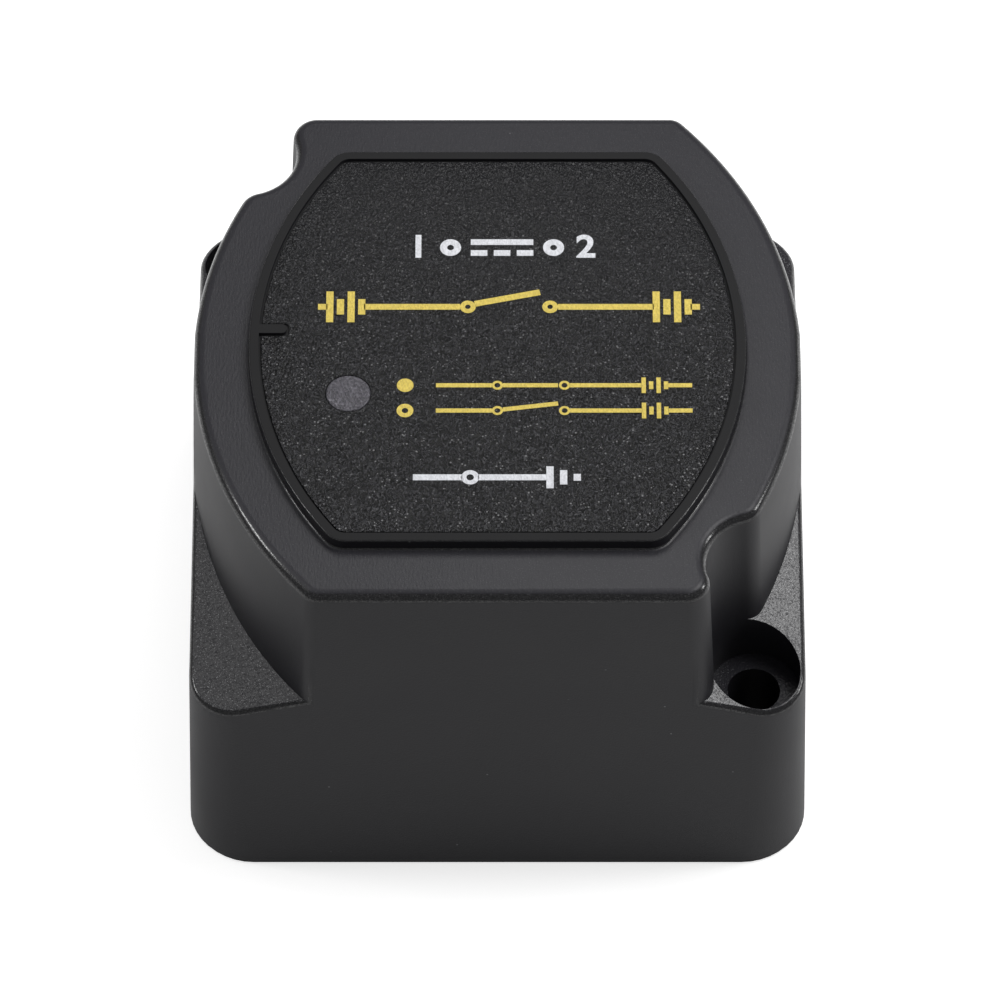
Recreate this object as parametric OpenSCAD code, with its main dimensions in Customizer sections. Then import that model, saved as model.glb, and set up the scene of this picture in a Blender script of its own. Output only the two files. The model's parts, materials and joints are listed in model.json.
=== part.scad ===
// Battery isolator relay: a square moulded housing with a barrel-shaped hump, closed from below
// by a plate that carries two cable studs, a solenoid with a bridging contact and a control board.
// Millimetres, +Z up, origin at the middle of the foot, the front wall towards -Y.

/* [Housing] */
// Side of the square foot
foot_size = 68; // [66:0.5:76]
// Height of the hump's rim above the foot
rim_h = 48.5; // [47.5:0.5:58]
// Thickness of the side walls
wall = 2.4; // [1.8:0.1:2.8]
// Thickness of the top wall under the rim
top_wall = 2.5; // [1.6:0.1:3]
// Draft of the four outer walls in degrees
wall_draft = 1.5; // [0.5:0.1:2.5]
// Corner radius at the foot
foot_corner_r = 7; // [5:0.5:9]
// Corner radius of the same walls at the height of the rim
head_corner_r = 4.3; // [3:0.1:6]
// Fillet round the rim of the hump
rim_fillet = 1.2; // [0.4:0.1:1.8]

/* [Hump and flanges] */
// Distance from the foot's sides to the crowns of the hump's two arcs at the rim
hump_inset = 1.2; // [1:0.1:3]
// Radius of the two arcs in plan
hump_arc_r = 47.7; // [42:0.1:60]
// Draft of the arc walls in degrees
hump_draft = 2.5; // [1:0.1:4]
// Radius between the arc walls and the front and rear walls
hump_corner_r = 1.8; // [0.8:0.1:3]
// Height of the flanges at the outer corners
flange_h = 26.4; // [25:0.2:29]
// Slope of the flanges towards the sides in degrees
flange_slope_x = 14.4; // [8:0.2:18]
// Slope of the flanges towards the front and rear in degrees
flange_slope_y = 13.4; // [8:0.2:18]

/* [Raised panel and label] */
// Height of the raised panel above the rim
panel_h = 1.5; // [0.8:0.1:2.5]
// Width of the rim left round the raised panel
panel_inset = 6; // [4.5:0.1:8]
// Width of the border round the label
label_border = 1.05; // [0.8:0.05:1.6]
// Depth of the recess that holds the label
label_recess = 0.45; // [0.3:0.05:0.8]
// Thickness of the label
label_t = 0.25; // [0.1:0.05:0.4]
// Gap between the label's edge and its recess
label_gap = 0.25; // [0.1:0.05:0.5]
// Corner radius of the panel
panel_corner_r = 2.6; // [1.5:0.1:4]
// Length of the key that enters the label from the left
key_l = 3; // [1.5:0.1:5]
// Width of the key
key_w = 1.2; // [0.8:0.1:2]
// Place of the key along Y
key_y = 1.9; // [-2:0.1:4]

/* [Mounting screws] */
// Distance from the foot's sides to the screw axes
mount_inset = 6.25; // [6:0.05:6.75]
// Diameter of the screw holes
mount_hole_d = 5.7; // [4.3:0.1:6.4]
// Diameter of the pockets at their floor
pocket_d = 9.7; // [9:0.1:10]
// Height of the pocket floors
pocket_floor_h = 24.3; // [23:0.1:26]
// Draft of the pockets in degrees
pocket_draft = 1.9; // [0.5:0.1:3]
// Diameter of the column round each screw hole below its pocket
column_d = 12.8; // [11:0.1:13.4]

/* [Terminal plate] */
// Height of the plate's underside above the foot
skirt_depth = 15; // [14:0.1:16]
// Thickness of the plate
plate_t = 3; // [2.5:0.1:3.5]
// Gap between the plate's edge and the housing
plate_gap = 0.2; // [0.1:0.05:0.4]
// Thickness of the gasket
gasket_t = 0.8; // [0.5:0.1:1.2]
// Width of the gasket
gasket_w = 2.2; // [1.5:0.1:2.6]
// Thickness of the barrier between the studs
barrier_t = 2.4; // [1.6:0.1:4]
// Length of the barrier
barrier_l = 40; // [30:1:42]
// Gap between the barrier and the surface below the relay
barrier_gap = 3; // [1:0.5:6]
// Width of the cable exits in the left and right walls
exit_w = 15; // [10:0.5:18]
// Height of the cable exits
exit_h = 12.5; // [10:0.5:13.5]
// Corner radius of the cable exits
exit_r = 3; // [1:0.5:4]

/* [Studs and nuts] */
// Distance between the two studs
stud_pitch = 26; // [25:0.5:30]
// Diameter of the studs
stud_d = 8; // [6:0.5:8]
// Height of the stud ends above the foot
stud_end_h = 1.5; // [0.5:0.1:4]
// Width across the square heads
stud_head_w = 12; // [10:0.5:13]
// Thickness of the heads
stud_head_t = 2.6; // [2:0.1:3]
// Width across the flats of the nuts
nut_w = 13; // [10:0.5:13]
// Thickness of the nuts
nut_t = 6.5; // [5:0.5:7]
// Diameter of the flat washers
washer_d = 16; // [12:0.5:16]
// Thickness of the flat washers
washer_t = 1.6; // [1:0.1:1.8]
// Diameter of the spring washers
lock_washer_d = 14; // [11:0.5:14.5]
// Thickness of the spring washers
lock_washer_t = 2; // [1.4:0.1:2.2]
// Radial play of the washers and nuts on the studs
stud_play = 0.05; // [0.02:0.01:0.2]

/* [Contacts] */
// Diameter of the contact tips
tip_d = 6.4; // [5:0.2:8]
// Thickness of each contact tip
tip_t = 1.1; // [0.6:0.1:1.4]
// Gap between the open contacts
contact_gap = 2; // [1.2:0.1:2.2]
// Further travel of the plunger once the contacts are closed
overtravel = 0.5; // [0.3:0.1:0.7]
// Width of the contact bridge
bridge_w = 10; // [10:0.5:13]
// Thickness of the contact bridge
bridge_t = 1.8; // [1.4:0.1:2.2]
// Length of the bridge beyond the tips at each end
bridge_end = 1.3; // [0.6:0.1:2]

/* [Solenoid] */
// Diameter of the push rod
rod_d = 3.5; // [3:0.1:3.6]
// Diameter of the plunger
plunger_d = 11; // [10:0.2:12]
// Radial clearance of what slides
slide_play = 0.06; // [0.03:0.01:0.1]
// Diameter of the spring pocket in the pole core
spring_pocket_d = 8.8; // [8.6:0.1:9]
// Depth of the spring pocket
spring_pocket_depth = 3.4; // [3.2:0.1:3.8]
// Thickness of the core above its pocket
core_web = 2.2; // [1.5:0.1:3]
// Thickness of the guide sleeve
sleeve_t = 0.4; // [0.3:0.05:0.6]
// Wall of the bobbin
bobbin_t = 1; // [0.7:0.1:1.2]
// Thickness of the bobbin flanges
bobbin_flange_t = 0.8; // [0.6:0.1:1.1]
// Diameter of the bobbin flanges
bobbin_d = 32; // [28:0.5:32.5]
// Depth by which the winding stays inside the flanges
winding_inset = 1; // [0.5:0.1:2]
// Thickness of the steel frame
frame_t = 1.5; // [1.2:0.1:1.8]
// Width of the frame's legs
frame_w = 24; // [16:0.5:24]
// Gap between the bridge and the frame
frame_gap = 1.8; // [1.5:0.1:2]

/* [Control board] */
// Thickness of the board
board_t = 1.6; // [1:0.1:1.6]
// Height of the bosses between the board and the top wall
board_boss_h = 1.8; // [1.7:0.1:2.4]
// Gap between the board and the frame's cap
board_air = 1.1; // [0.6:0.1:1.5]
// Gap between the board's edge and the walls
board_gap = 1.8; // [1:0.1:3]
// Diameter of the board's hole over the plunger
board_hole_d = 15; // [13:0.5:18]
// Distance from the hump's left crown to the status lamp
lamp_inset = 16.8; // [14.8:0.2:20]
// Place of the status lamp along Y
lamp_y = -6.7; // [-9:0.1:0]
// Diameter of the lamp window in the label
window_d = 4.8; // [3:0.1:6]
// Diameter of the capacitor
capacitor_d = 8; // [6.3:0.1:8]
// Length of the capacitor
capacitor_l = 10.5; // [7:0.5:11]

/* [Hidden] */

// Overrun of every cut, and the steps of the outlines' arcs and corners
cut = 1;
arc_steps = 28;
corner_steps = 6;
fillet_steps = 4;
hull_fn = 32;
round_fn = 64;
nut_fn = 6;

// Levels, from the foot up
plate_z = skirt_depth;
floor_z = plate_z + plate_t;
ledge_z = floor_z + gasket_t;
tab_t = 0.5;
tab_margin = 2;
tab_end = 1.6;
head_z = floor_z + tab_t;
fixed_tip_z = head_z + stud_head_t;
moving_tip_z = fixed_tip_z + tip_t + contact_gap;
bridge_z = moving_tip_z + tip_t;
bridge_top_z = bridge_z + bridge_t;
frame_z = bridge_top_z + frame_gap;
bobbin_z = frame_z + frame_t;
core_top_z = frame_z + spring_pocket_depth + core_web;
ceiling_z = rim_h - top_wall;
board_top_z = ceiling_z - board_boss_h;
board_z = board_top_z - board_t;
cap_z = board_z - board_air - frame_t;
panel_z = rim_h + panel_h;
recess_z = panel_z - label_recess;
label_top_z = recess_z + label_t;

// Clearances and the travel of the plunger
seat_gap = 0.2;
touch_gap = 0.05;
stroke = contact_gap + overtravel;
plunger_z = core_top_z + stroke + seat_gap;
plunger_headroom = 0.7;
plunger_top_z = ceiling_z - plunger_headroom;

// Places of the outer walls: half the foot, less what the draft takes off by a height
foot_half = foot_size / 2;
hump_w = foot_size - 2 * hump_inset;
lamp_x = lamp_inset - hump_w / 2;
function wall_half(z) = foot_half - z * tan(wall_draft);

// Inner spaces
skirt_half = wall_half(ledge_z) - wall;
inner_half_x = skirt_half - gasket_w / 5;
inner_half_y = wall_half(rim_h) - wall;
mount_at = foot_half - mount_inset;
pocket_r = pocket_d / 2;
pocket_top_r = pocket_r + (rim_h - pocket_floor_h) * tan(pocket_draft);
upper_column_r = pocket_top_r + wall;
column_r = column_d / 2;
MOUNTS = [[mount_at, -mount_at], [-mount_at, mount_at]];

// Screws of the plate: two in the plain corners and two in bosses on the front and rear walls
screw_r = 1.45;
screw_head_r = 2.7;
screw_head_t = 1.9;
screw_l = 10;
screw_play = 0.05;
plate_screw_play = 0.25;
corner_screw_inset = 5.2;
corner_screw_at = skirt_half - corner_screw_inset;
boss_r = 3.4;
boss_h = 9.5;
boss_x = stud_pitch / 2;
boss_inset = 2.7;
boss_y = inner_half_y - boss_inset;
PLATE_SCREWS = [
    [-corner_screw_at, -corner_screw_at], [corner_screw_at, corner_screw_at],
    [boss_x, -boss_y], [-boss_x, boss_y]
];

// Pillars of the plate that carry the coil's frame
pillar_r = 3;
pillar_offset = 1;
pillar_x = stud_pitch / 2 + pillar_offset;
pillar_y = frame_w / 2 + pillar_r;
pillar_screw_r = 1.2;
pillar_screw_head_r = 2.3;
pillar_screw_head_t = 1.6;
pillar_screw_l = 8;
frame_screw_play = 0.2;
PILLARS = [for (sx = [-1, 1], sy = [-1, 1]) [sx * pillar_x, sy * pillar_y]];

// Contacts and the solenoid
stud_r = stud_d / 2;
tip_r = tip_d / 2;
rod_r = rod_d / 2;
plunger_r = plunger_d / 2;
sleeve_r = plunger_r + slide_play + sleeve_t;
bobbin_bore_r = sleeve_r + touch_gap;
bobbin_core_r = bobbin_bore_r + bobbin_t;
bobbin_r = bobbin_d / 2;
bobbin_h = cap_z - bobbin_z;
frame_side_gap = 0.5;
frame_half_x = bobbin_r + frame_side_gap + frame_t;
frame_foot_half_y = pillar_y + pillar_r;
bridge_half = stud_pitch / 2 + tip_r + bridge_end;
bridge_chamfer = bridge_w / 4;

// Push rod, its collar and its clip
collar_t = 0.9;
collar_gap = 0.5;
collar_r = spring_pocket_d / 2 - collar_gap;
collar_z = frame_z + spring_pocket_depth - 2 * touch_gap - collar_t;
clip_t = 0.8;
clip_r = 3.1;
clip_z = bridge_z - clip_t - touch_gap;
rod_tail = 1.1;
rod_z = clip_z - rod_tail;
rod_grip = 6;
rod_top_z = plunger_z + rod_grip;
rod_fit = 0.01;

// Springs: wire radius, mean radius of the coils and number of turns
contact_wire_r = 0.38;
contact_coil_r = 2.9;
contact_turns = 3.5;
return_wire_r = 0.45;
return_coil_r = 4.25;
return_turns = 4.5;
turn_steps = 12;
wire_sides = 6;

// Board: its screws, the pins and leads that reach it and the places of its parts
board_boss_r = 2.8;
board_screw_r = 1.1;
board_screw_head_r = 2.1;
board_screw_head_t = 1.4;
board_screw_grip = 2.6;
board_screw_play = 0.2;
pin_r = 0.4;
pin_play = 0.1;
pin_stub = 0.6;
pin_air = 0.5;
coil_pin_x = 5;
coil_pin_inset = 2;
coil_pin_y = bobbin_r - coil_pin_inset;
lead_r = 0.7;
sense_offset = 4;
sense_x = frame_half_x + sense_offset;
ground_offset = 4;
ground_y = barrier_l / 2 + ground_offset;
capacitor_gap = 0.4;
capacitor_y = frame_foot_half_y + capacitor_d / 2 + capacitor_gap;
window_r = window_d / 2;
window_play = 0.05;
window_flange_w = 0.8;
window_flange_r = window_r + window_flange_w;
window_flange_t = 0.5;

// Places on the board, as shares of half the board's width and depth, and the sizes of its parts
board_half_x = hump_w / 2 - wall - board_gap;
board_half_y = inner_half_y - board_gap;
function on_board(share) = [share[0] * board_half_x, share[1] * board_half_y];
board_screw_share = [0.734, 0.596];
BOARD_SCREWS = [
    for (sx = [-1, 1], sy = [-1, 1]) on_board([sx * board_screw_share[0], sy * board_screw_share[1]])
];
controller_share = [-0.36, -0.62];
regulator_share = [0.42, 0.74];
driver_share = [0.36, -0.66];
diode_share = [0.02, -0.36];
suppressor_share = [0.58, 0.1];
RESISTOR_SHARES = [
    [-0.62, -0.46], [-0.62, 0.02], [-0.62, 0.12], [-0.5, 0.3], [-0.12, -0.78], [0.1, -0.78],
    [0.64, -0.2], [0.64, -0.34]
];
CAPACITOR_SHARES = [[-0.62, 0.22], [-0.2, -0.66], [0.22, 0.58], [0.62, 0.34], [-0.36, 0.52]];
controller_size = [5, 3.9, 1.5];
controller_legs = 4;
regulator_size = [4.5, 2.5, 1.5];
driver_size = [6.5, 3.5, 1.6];
three_legs = 3;
leg_w = 0.45;
diode_size = [4.4, 2.7, 1.6];
suppressor_size = [6.6, 5.2, 1.65];
resistor_size = [3.2, 1.6, 0.6];
chip_capacitor_size = [2, 1.25, 0.9];
lamp_size = [3.2, 2.8, 1.2];

// Ground blade
blade_w = 6.3;
blade_t = 0.8;
blade_l = 8.5;
blade_hole_r = 0.9;
blade_head = 1.5;

// Levels of the spring washers and nuts
lock_z = plate_z - washer_t - lock_washer_t;
nut_z = lock_z - nut_t;

// Points along an arc, less the ones that are skipped at its start and at its end
function arc(centre, r, from, to, steps, skip = [0, 0]) = [
    for (i = [skip[0]:steps - skip[1]])
        let (t = from + (to - from) * i / steps)
        [centre[0] + r * cos(t), centre[1] + r * sin(t)]
];

// A barrel in plan: two arcs of radius r whose crowns lie w from the middle, cut off flat at the
// depth d, with the corner radius c
function barrel(w, r, d, c) =
    let (
        m = w - r,
        ky = d - c,
        kx = m + sqrt((r - c) * (r - c) - ky * ky),
        a = atan2(ky, kx - m)
    )
    concat(
        arc([m, 0], r, -a, a, arc_steps),
        arc([kx, ky], c, a, 90, corner_steps, [1, 0]),
        arc([-kx, ky], c, 90, 180 - a, corner_steps, [0, 1]),
        arc([-m, 0], r, 180 - a, 180 + a, arc_steps),
        arc([-kx, -ky], c, 180 + a, 270, corner_steps, [1, 0]),
        arc([kx, -ky], c, 270, 360 - a, corner_steps, [0, 1])
    );

// A thin slice of a rounded square, for the hulls of the drafted walls
module square_slice(half, r, z) {
    thin = cut / 1000;
    translate([0, 0, z - thin])
        linear_extrude(thin)
            for (sx = [-1, 1], sy = [-1, 1])
                translate([sx * (half - r), sy * (half - r)]) circle(r = r, $fn = hull_fn);
}

module barrel_slice(inset, z) {
    thin = cut / 1000;
    grow = (rim_h - z) * tan(hump_draft) - inset;
    translate([0, 0, z - thin])
        linear_extrude(thin)
            polygon(barrel(hump_w / 2 + grow, hump_arc_r + grow, wall_half(z) - inset + rim_fillet / 50,
                           hump_corner_r));
}

module rounded_plate(half, r, h) {
    linear_extrude(h)
        hull()
            for (sx = [-1, 1], sy = [-1, 1])
                translate([sx * (half - r), sy * (half - r)]) circle(r = r, $fn = hull_fn);
}

// The four outer walls with their draft, and the fillet of the front and rear edges
module drafted_walls() {
    hull() {
        square_slice(foot_half, foot_corner_r, cut / 1000);
        square_slice(wall_half(rim_h - rim_fillet), head_corner_r, rim_h - rim_fillet);
        for (i = [1:fillet_steps]) {
            a = 90 * i / fillet_steps;
            square_slice(wall_half(rim_h - rim_fillet) - rim_fillet * (1 - cos(a)), head_corner_r,
                         rim_h - rim_fillet * (1 - sin(a)));
        }
    }
}

// The hump's two arcs with their draft and the fillet of their rim
module hump() {
    hull() {
        barrel_slice(0, flange_h / 2);
        barrel_slice(0, rim_h - rim_fillet);
        for (i = [1:fillet_steps]) {
            a = 90 * i / fillet_steps;
            barrel_slice(rim_fillet * (1 - cos(a)), rim_h - rim_fillet * (1 - sin(a)));
        }
    }
}

// The four flanges are the faces of one low pyramid
module flange_pyramid() {
    slope_x = tan(flange_slope_x);
    slope_y = tan(flange_slope_y);
    corner = wall_half(flange_h);
    apex = flange_h + corner * (slope_x + slope_y);
    polyhedron(
        points = [
            [apex / slope_x, 0, 0], [0, apex / slope_y, 0], [-apex / slope_x, 0, 0],
            [0, -apex / slope_y, 0], [0, 0, apex]
        ],
        faces = [[0, 1, 2, 3], [1, 0, 4], [2, 1, 4], [3, 2, 4], [0, 3, 4]]
    );
}

module raised_panel() {
    w = hump_w / 2 - panel_inset;
    r = hump_arc_r - panel_inset;
    d = wall_half(rim_h) - panel_inset - rim_fillet / 4;
    translate([0, 0, rim_h - top_wall / 2])
        linear_extrude(panel_h + top_wall / 2) polygon(barrel(w, r, d, panel_corner_r));
}

// The recess for the label, or the label itself when the gap is taken off
module label_outline(gap) {
    inset = panel_inset + label_border + gap;
    polygon(barrel(hump_w / 2 - inset, hump_arc_r - inset, wall_half(rim_h) - inset - rim_fillet / 4,
                   panel_corner_r - label_border));
}

module label_key(gap) {
    left = hump_w / 2 - panel_inset - label_border;
    translate([-left - label_border / 2, key_y - key_w / 2 - gap])
        square([key_l + label_border / 2 + gap, key_w + 2 * gap]);
}

// The space under the hump, down to the ledge that the gasket seats on
module upper_space() {
    grow = (rim_h - ledge_z) * tan(hump_draft);
    difference() {
        intersection() {
            translate([0, 0, ledge_z - cut]) hull() {
                linear_extrude(cut)
                    polygon(barrel(hump_w / 2 + grow - wall, hump_arc_r + grow - wall, inner_half_y,
                                   hump_corner_r));
                translate([0, 0, ceiling_z - ledge_z])
                    linear_extrude(cut)
                        polygon(barrel(hump_w / 2 - wall, hump_arc_r - wall, inner_half_y, hump_corner_r));
            }
            translate([-inner_half_x, -foot_half, ledge_z - cut])
                cube([2 * inner_half_x, foot_size, rim_h]);
        }
        for (m = MOUNTS)
            translate([m[0], m[1], ledge_z - 2 * cut])
                cylinder(r = upper_column_r, h = rim_h, $fn = round_fn);
        for (sy = [-1, 1])
            translate([-sy * boss_x, sy * boss_y, ledge_z])
                cylinder(r = boss_r, h = boss_h, $fn = round_fn);
        for (b = BOARD_SCREWS)
            translate([b[0], b[1], board_top_z]) cylinder(r = board_boss_r, h = rim_h, $fn = round_fn);
    }
}

// The open space under the plate, down to the foot
module skirt_space() {
    difference() {
        translate([0, 0, -cut]) rounded_plate(skirt_half, foot_corner_r - wall, ledge_z + cut);
        for (m = MOUNTS)
            translate([m[0], m[1], -2 * cut]) cylinder(r = column_r, h = rim_h, $fn = round_fn);
    }
}

module cable_exits() {
    outline = concat(
        [[-exit_w / 2, -cut], [exit_w / 2, -cut]],
        arc([exit_w / 2 - exit_r, exit_h - exit_r], exit_r, 0, 90, corner_steps),
        arc([-exit_w / 2 + exit_r, exit_h - exit_r], exit_r, 90, 180, corner_steps)
    );
    rotate([90, 0, 90])
        translate([0, 0, -foot_size]) linear_extrude(2 * foot_size) polygon(outline);
}

module housing() {
    color([0.07, 0.07, 0.075])
        difference() {
            union() {
                intersection() {
                    drafted_walls();
                    union() {
                        hump();
                        flange_pyramid();
                    }
                }
                raised_panel();
            }
            skirt_space();
            upper_space();
            cable_exits();
            translate([0, 0, recess_z])
                linear_extrude(panel_h)
                    difference() {
                        label_outline(0);
                        label_key(0);
                    }
            for (m = MOUNTS) translate([m[0], m[1], 0]) {
                translate([0, 0, -cut]) cylinder(d = mount_hole_d, h = rim_h, $fn = round_fn);
                translate([0, 0, pocket_floor_h])
                    cylinder(r1 = pocket_r, r2 = pocket_r + rim_h * tan(pocket_draft), h = rim_h,
                             $fn = round_fn);
            }
            for (s = PLATE_SCREWS)
                translate([s[0], s[1], ledge_z - cut])
                    cylinder(r = screw_r + screw_play, h = cut + screw_l - plate_t - gasket_t + seat_gap,
                             $fn = round_fn);
            for (b = BOARD_SCREWS)
                translate([b[0], b[1], board_top_z - cut])
                    cylinder(r = board_screw_r + screw_play, h = cut + board_screw_grip + seat_gap,
                             $fn = round_fn);
            translate([lamp_x, lamp_y, ceiling_z - cut])
                cylinder(r = window_r + window_play, h = rim_h, $fn = round_fn);
        }
}

module label() {
    color([0.1, 0.1, 0.105])
        translate([0, 0, recess_z])
            linear_extrude(label_t)
                difference() {
                    label_outline(label_gap);
                    label_key(label_gap);
                    translate([lamp_x, lamp_y]) circle(r = window_r + window_play, $fn = round_fn);
                }
}

// A light pipe: its head fills the label's hole and its flange seats under the top wall
module lamp_window() {
    color([0.4, 0.39, 0.42])
        translate([lamp_x, lamp_y, 0]) {
            translate([0, 0, ceiling_z - window_flange_t])
                cylinder(r = window_flange_r, h = window_flange_t, $fn = round_fn);
            translate([0, 0, ceiling_z - window_flange_t / 2])
                cylinder(r = window_r, h = label_top_z - ceiling_z + window_flange_t / 2, $fn = round_fn);
        }
}

module circuit_board() {
    inset = wall + board_gap;
    color([0.05, 0.3, 0.12])
        difference() {
            translate([0, 0, board_z])
                linear_extrude(board_t)
                    polygon(barrel(hump_w / 2 - inset, hump_arc_r - inset, inner_half_y - board_gap,
                                   hump_corner_r));
            for (m = MOUNTS)
                translate([m[0], m[1], board_z - cut])
                    cylinder(r = upper_column_r + board_gap, h = board_t + 2 * cut, $fn = round_fn);
            translate([0, 0, board_z - cut]) {
                cylinder(d = board_hole_d, h = board_t + 2 * cut, $fn = round_fn);
                for (b = BOARD_SCREWS)
                    translate([b[0], b[1], 0])
                        cylinder(r = board_screw_r + board_screw_play, h = board_t + 2 * cut, $fn = round_fn);
                for (s = [-1, 1]) {
                    translate([s * coil_pin_x, -coil_pin_y, 0])
                        cylinder(r = pin_r + pin_play, h = board_t + 2 * cut, $fn = round_fn);
                    translate([s * sense_x, 0, 0])
                        cylinder(r = lead_r + pin_play, h = board_t + 2 * cut, $fn = round_fn);
                    translate([s * capacitor_d / 5, capacitor_y, 0])
                        cylinder(r = pin_r + pin_play, h = board_t + 2 * cut, $fn = round_fn);
                }
                translate([0, -ground_y, 0])
                    cylinder(r = lead_r + pin_play, h = board_t + 2 * cut, $fn = round_fn);
            }
        }
}

// A screw with a domed cross-slotted head: z = 0 is the seat, the head is below and the shank above
module cross_screw(shank_r, length, head_r, head_t) {
    slot_w = head_r / 4;
    difference() {
        union() {
            cylinder(r = shank_r, h = length, $fn = round_fn);
            translate([0, 0, -head_t]) cylinder(r1 = head_r * 0.8, r2 = head_r, h = head_t, $fn = round_fn);
        }
        for (a = [0, 90])
            rotate(a)
                translate([-head_r * 0.6, -slot_w / 2, -head_t - cut])
                    cube([head_r * 1.2, slot_w, cut + head_t / 2]);
    }
}

module board_screws() {
    color([0.72, 0.7, 0.62])
        for (b = BOARD_SCREWS)
            translate([b[0], b[1], board_z])
                cross_screw(board_screw_r, board_t + board_screw_grip, board_screw_head_r,
                            board_screw_head_t);
}

// A small part on the board: a moulded body between two or more rows of legs
module chip(at, size, legs, leg_w) {
    leg_reach = size[1] * 0.25;
    leg_t = size[2] * 0.15;
    translate([at[0], at[1], board_top_z]) {
        translate([-size[0] / 2, -size[1] / 2, leg_t])
            cube([size[0], size[1], size[2] - leg_t]);
        for (i = [0:legs - 1], s = [-1, 1])
            translate([(i - (legs - 1) / 2) * size[0] / legs - leg_w / 2, s * size[1] / 2 - leg_reach, 0])
                cube([leg_w, 2 * leg_reach, leg_t * 2]);
    }
}

module microcontroller() {
    color([0.12, 0.12, 0.13]) chip(on_board(controller_share), controller_size, controller_legs, leg_w);
}

module voltage_regulator() {
    color([0.12, 0.12, 0.13]) chip(on_board(regulator_share), regulator_size, three_legs, leg_w);
}

module driver_transistor() {
    color([0.12, 0.12, 0.13]) chip(on_board(driver_share), driver_size, three_legs, 2 * leg_w);
}

module flyback_diode() {
    color([0.15, 0.15, 0.16]) chip(on_board(diode_share), diode_size, 1, 3 * leg_w);
}

module surge_suppressor() {
    color([0.15, 0.15, 0.16]) chip(on_board(suppressor_share), suppressor_size, 1, 5 * leg_w);
}

module status_lamp() {
    body_t = lamp_size[2] * 0.6;
    color([0.85, 0.85, 0.8])
        translate([lamp_x, lamp_y, board_top_z]) {
            translate([-lamp_size[0] / 2, -lamp_size[1] / 2, 0]) cube([lamp_size[0], lamp_size[1], body_t]);
            cylinder(r1 = lamp_size[1] * 0.45, r2 = lamp_size[1] * 0.4, h = lamp_size[2], $fn = round_fn);
        }
}

module chip_resistors() {
    color([0.1, 0.1, 0.1])
        for (share = RESISTOR_SHARES)
            translate([on_board(share)[0] - resistor_size[0] / 2, on_board(share)[1] - resistor_size[1] / 2,
                       board_top_z])
                cube(resistor_size);
}

module chip_capacitors() {
    color([0.65, 0.5, 0.35])
        for (share = CAPACITOR_SHARES)
            translate([on_board(share)[0] - chip_capacitor_size[0] / 2,
                       on_board(share)[1] - chip_capacitor_size[1] / 2, board_top_z])
                cube(chip_capacitor_size);
}

// A can that hangs under the board, with a crimp groove and two wires
module filter_capacitor() {
    groove_z = board_z - capacitor_l * 0.22;
    groove_depth = capacitor_d * 0.05;
    color([0.13, 0.15, 0.3])
        translate([0, capacitor_y, 0]) {
            difference() {
                translate([0, 0, board_z - capacitor_l])
                    cylinder(d = capacitor_d, h = capacitor_l, $fn = round_fn);
                translate([0, 0, groove_z]) difference() {
                    cylinder(d = capacitor_d + cut, h = groove_depth * 2, $fn = round_fn);
                    translate([0, 0, -cut])
                        cylinder(d = capacitor_d - 2 * groove_depth, h = groove_depth * 2 + 2 * cut,
                                 $fn = round_fn);
                }
            }
            for (s = [-1, 1])
                translate([s * capacitor_d / 5, 0, board_z - pin_stub])
                    cylinder(r = pin_r, h = board_t + 2 * pin_stub, $fn = round_fn);
        }
}

module coil_bobbin() {
    color([0.85, 0.83, 0.75])
        translate([0, 0, bobbin_z])
            difference() {
                union() {
                    cylinder(r = bobbin_core_r, h = bobbin_h, $fn = round_fn);
                    cylinder(r = bobbin_r, h = bobbin_flange_t, $fn = round_fn);
                    translate([0, 0, bobbin_h - bobbin_flange_t])
                        cylinder(r = bobbin_r, h = bobbin_flange_t, $fn = round_fn);
                }
                translate([0, 0, -cut]) cylinder(r = bobbin_bore_r, h = bobbin_h + 2 * cut, $fn = round_fn);
                for (s = [-1, 1])
                    translate([s * coil_pin_x, -coil_pin_y, bobbin_h / 2])
                        cylinder(r = pin_r + slide_play / 2, h = bobbin_h, $fn = round_fn);
            }
}

module coil_winding() {
    color([0.7, 0.33, 0.15])
        translate([0, 0, bobbin_z + bobbin_flange_t])
            difference() {
                cylinder(r = bobbin_r - winding_inset, h = bobbin_h - 2 * bobbin_flange_t, $fn = round_fn);
                translate([0, 0, -cut])
                    cylinder(r = bobbin_core_r + touch_gap, h = bobbin_h, $fn = round_fn);
            }
}

module coil_pins() {
    color([0.8, 0.8, 0.78])
        for (s = [-1, 1])
            translate([s * coil_pin_x, -coil_pin_y, bobbin_z + bobbin_h - bobbin_flange_t])
                cylinder(r = pin_r, h = board_top_z + pin_stub - bobbin_z - bobbin_h + bobbin_flange_t,
                         $fn = round_fn);
}

module pole_core() {
    color([0.6, 0.6, 0.62])
        translate([0, 0, frame_z])
            difference() {
                cylinder(r = plunger_r, h = core_top_z - frame_z, $fn = round_fn);
                translate([0, 0, -cut])
                    cylinder(d = spring_pocket_d, h = spring_pocket_depth + cut, $fn = round_fn);
                cylinder(r = rod_r + slide_play, h = core_top_z, $fn = round_fn);
            }
}

module guide_sleeve() {
    color([0.78, 0.62, 0.3])
        translate([0, 0, bobbin_z])
            difference() {
                cylinder(r = sleeve_r, h = cap_z + frame_t - bobbin_z, $fn = round_fn);
                translate([0, 0, -cut]) cylinder(r = plunger_r + slide_play, h = rim_h, $fn = round_fn);
            }
}

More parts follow.
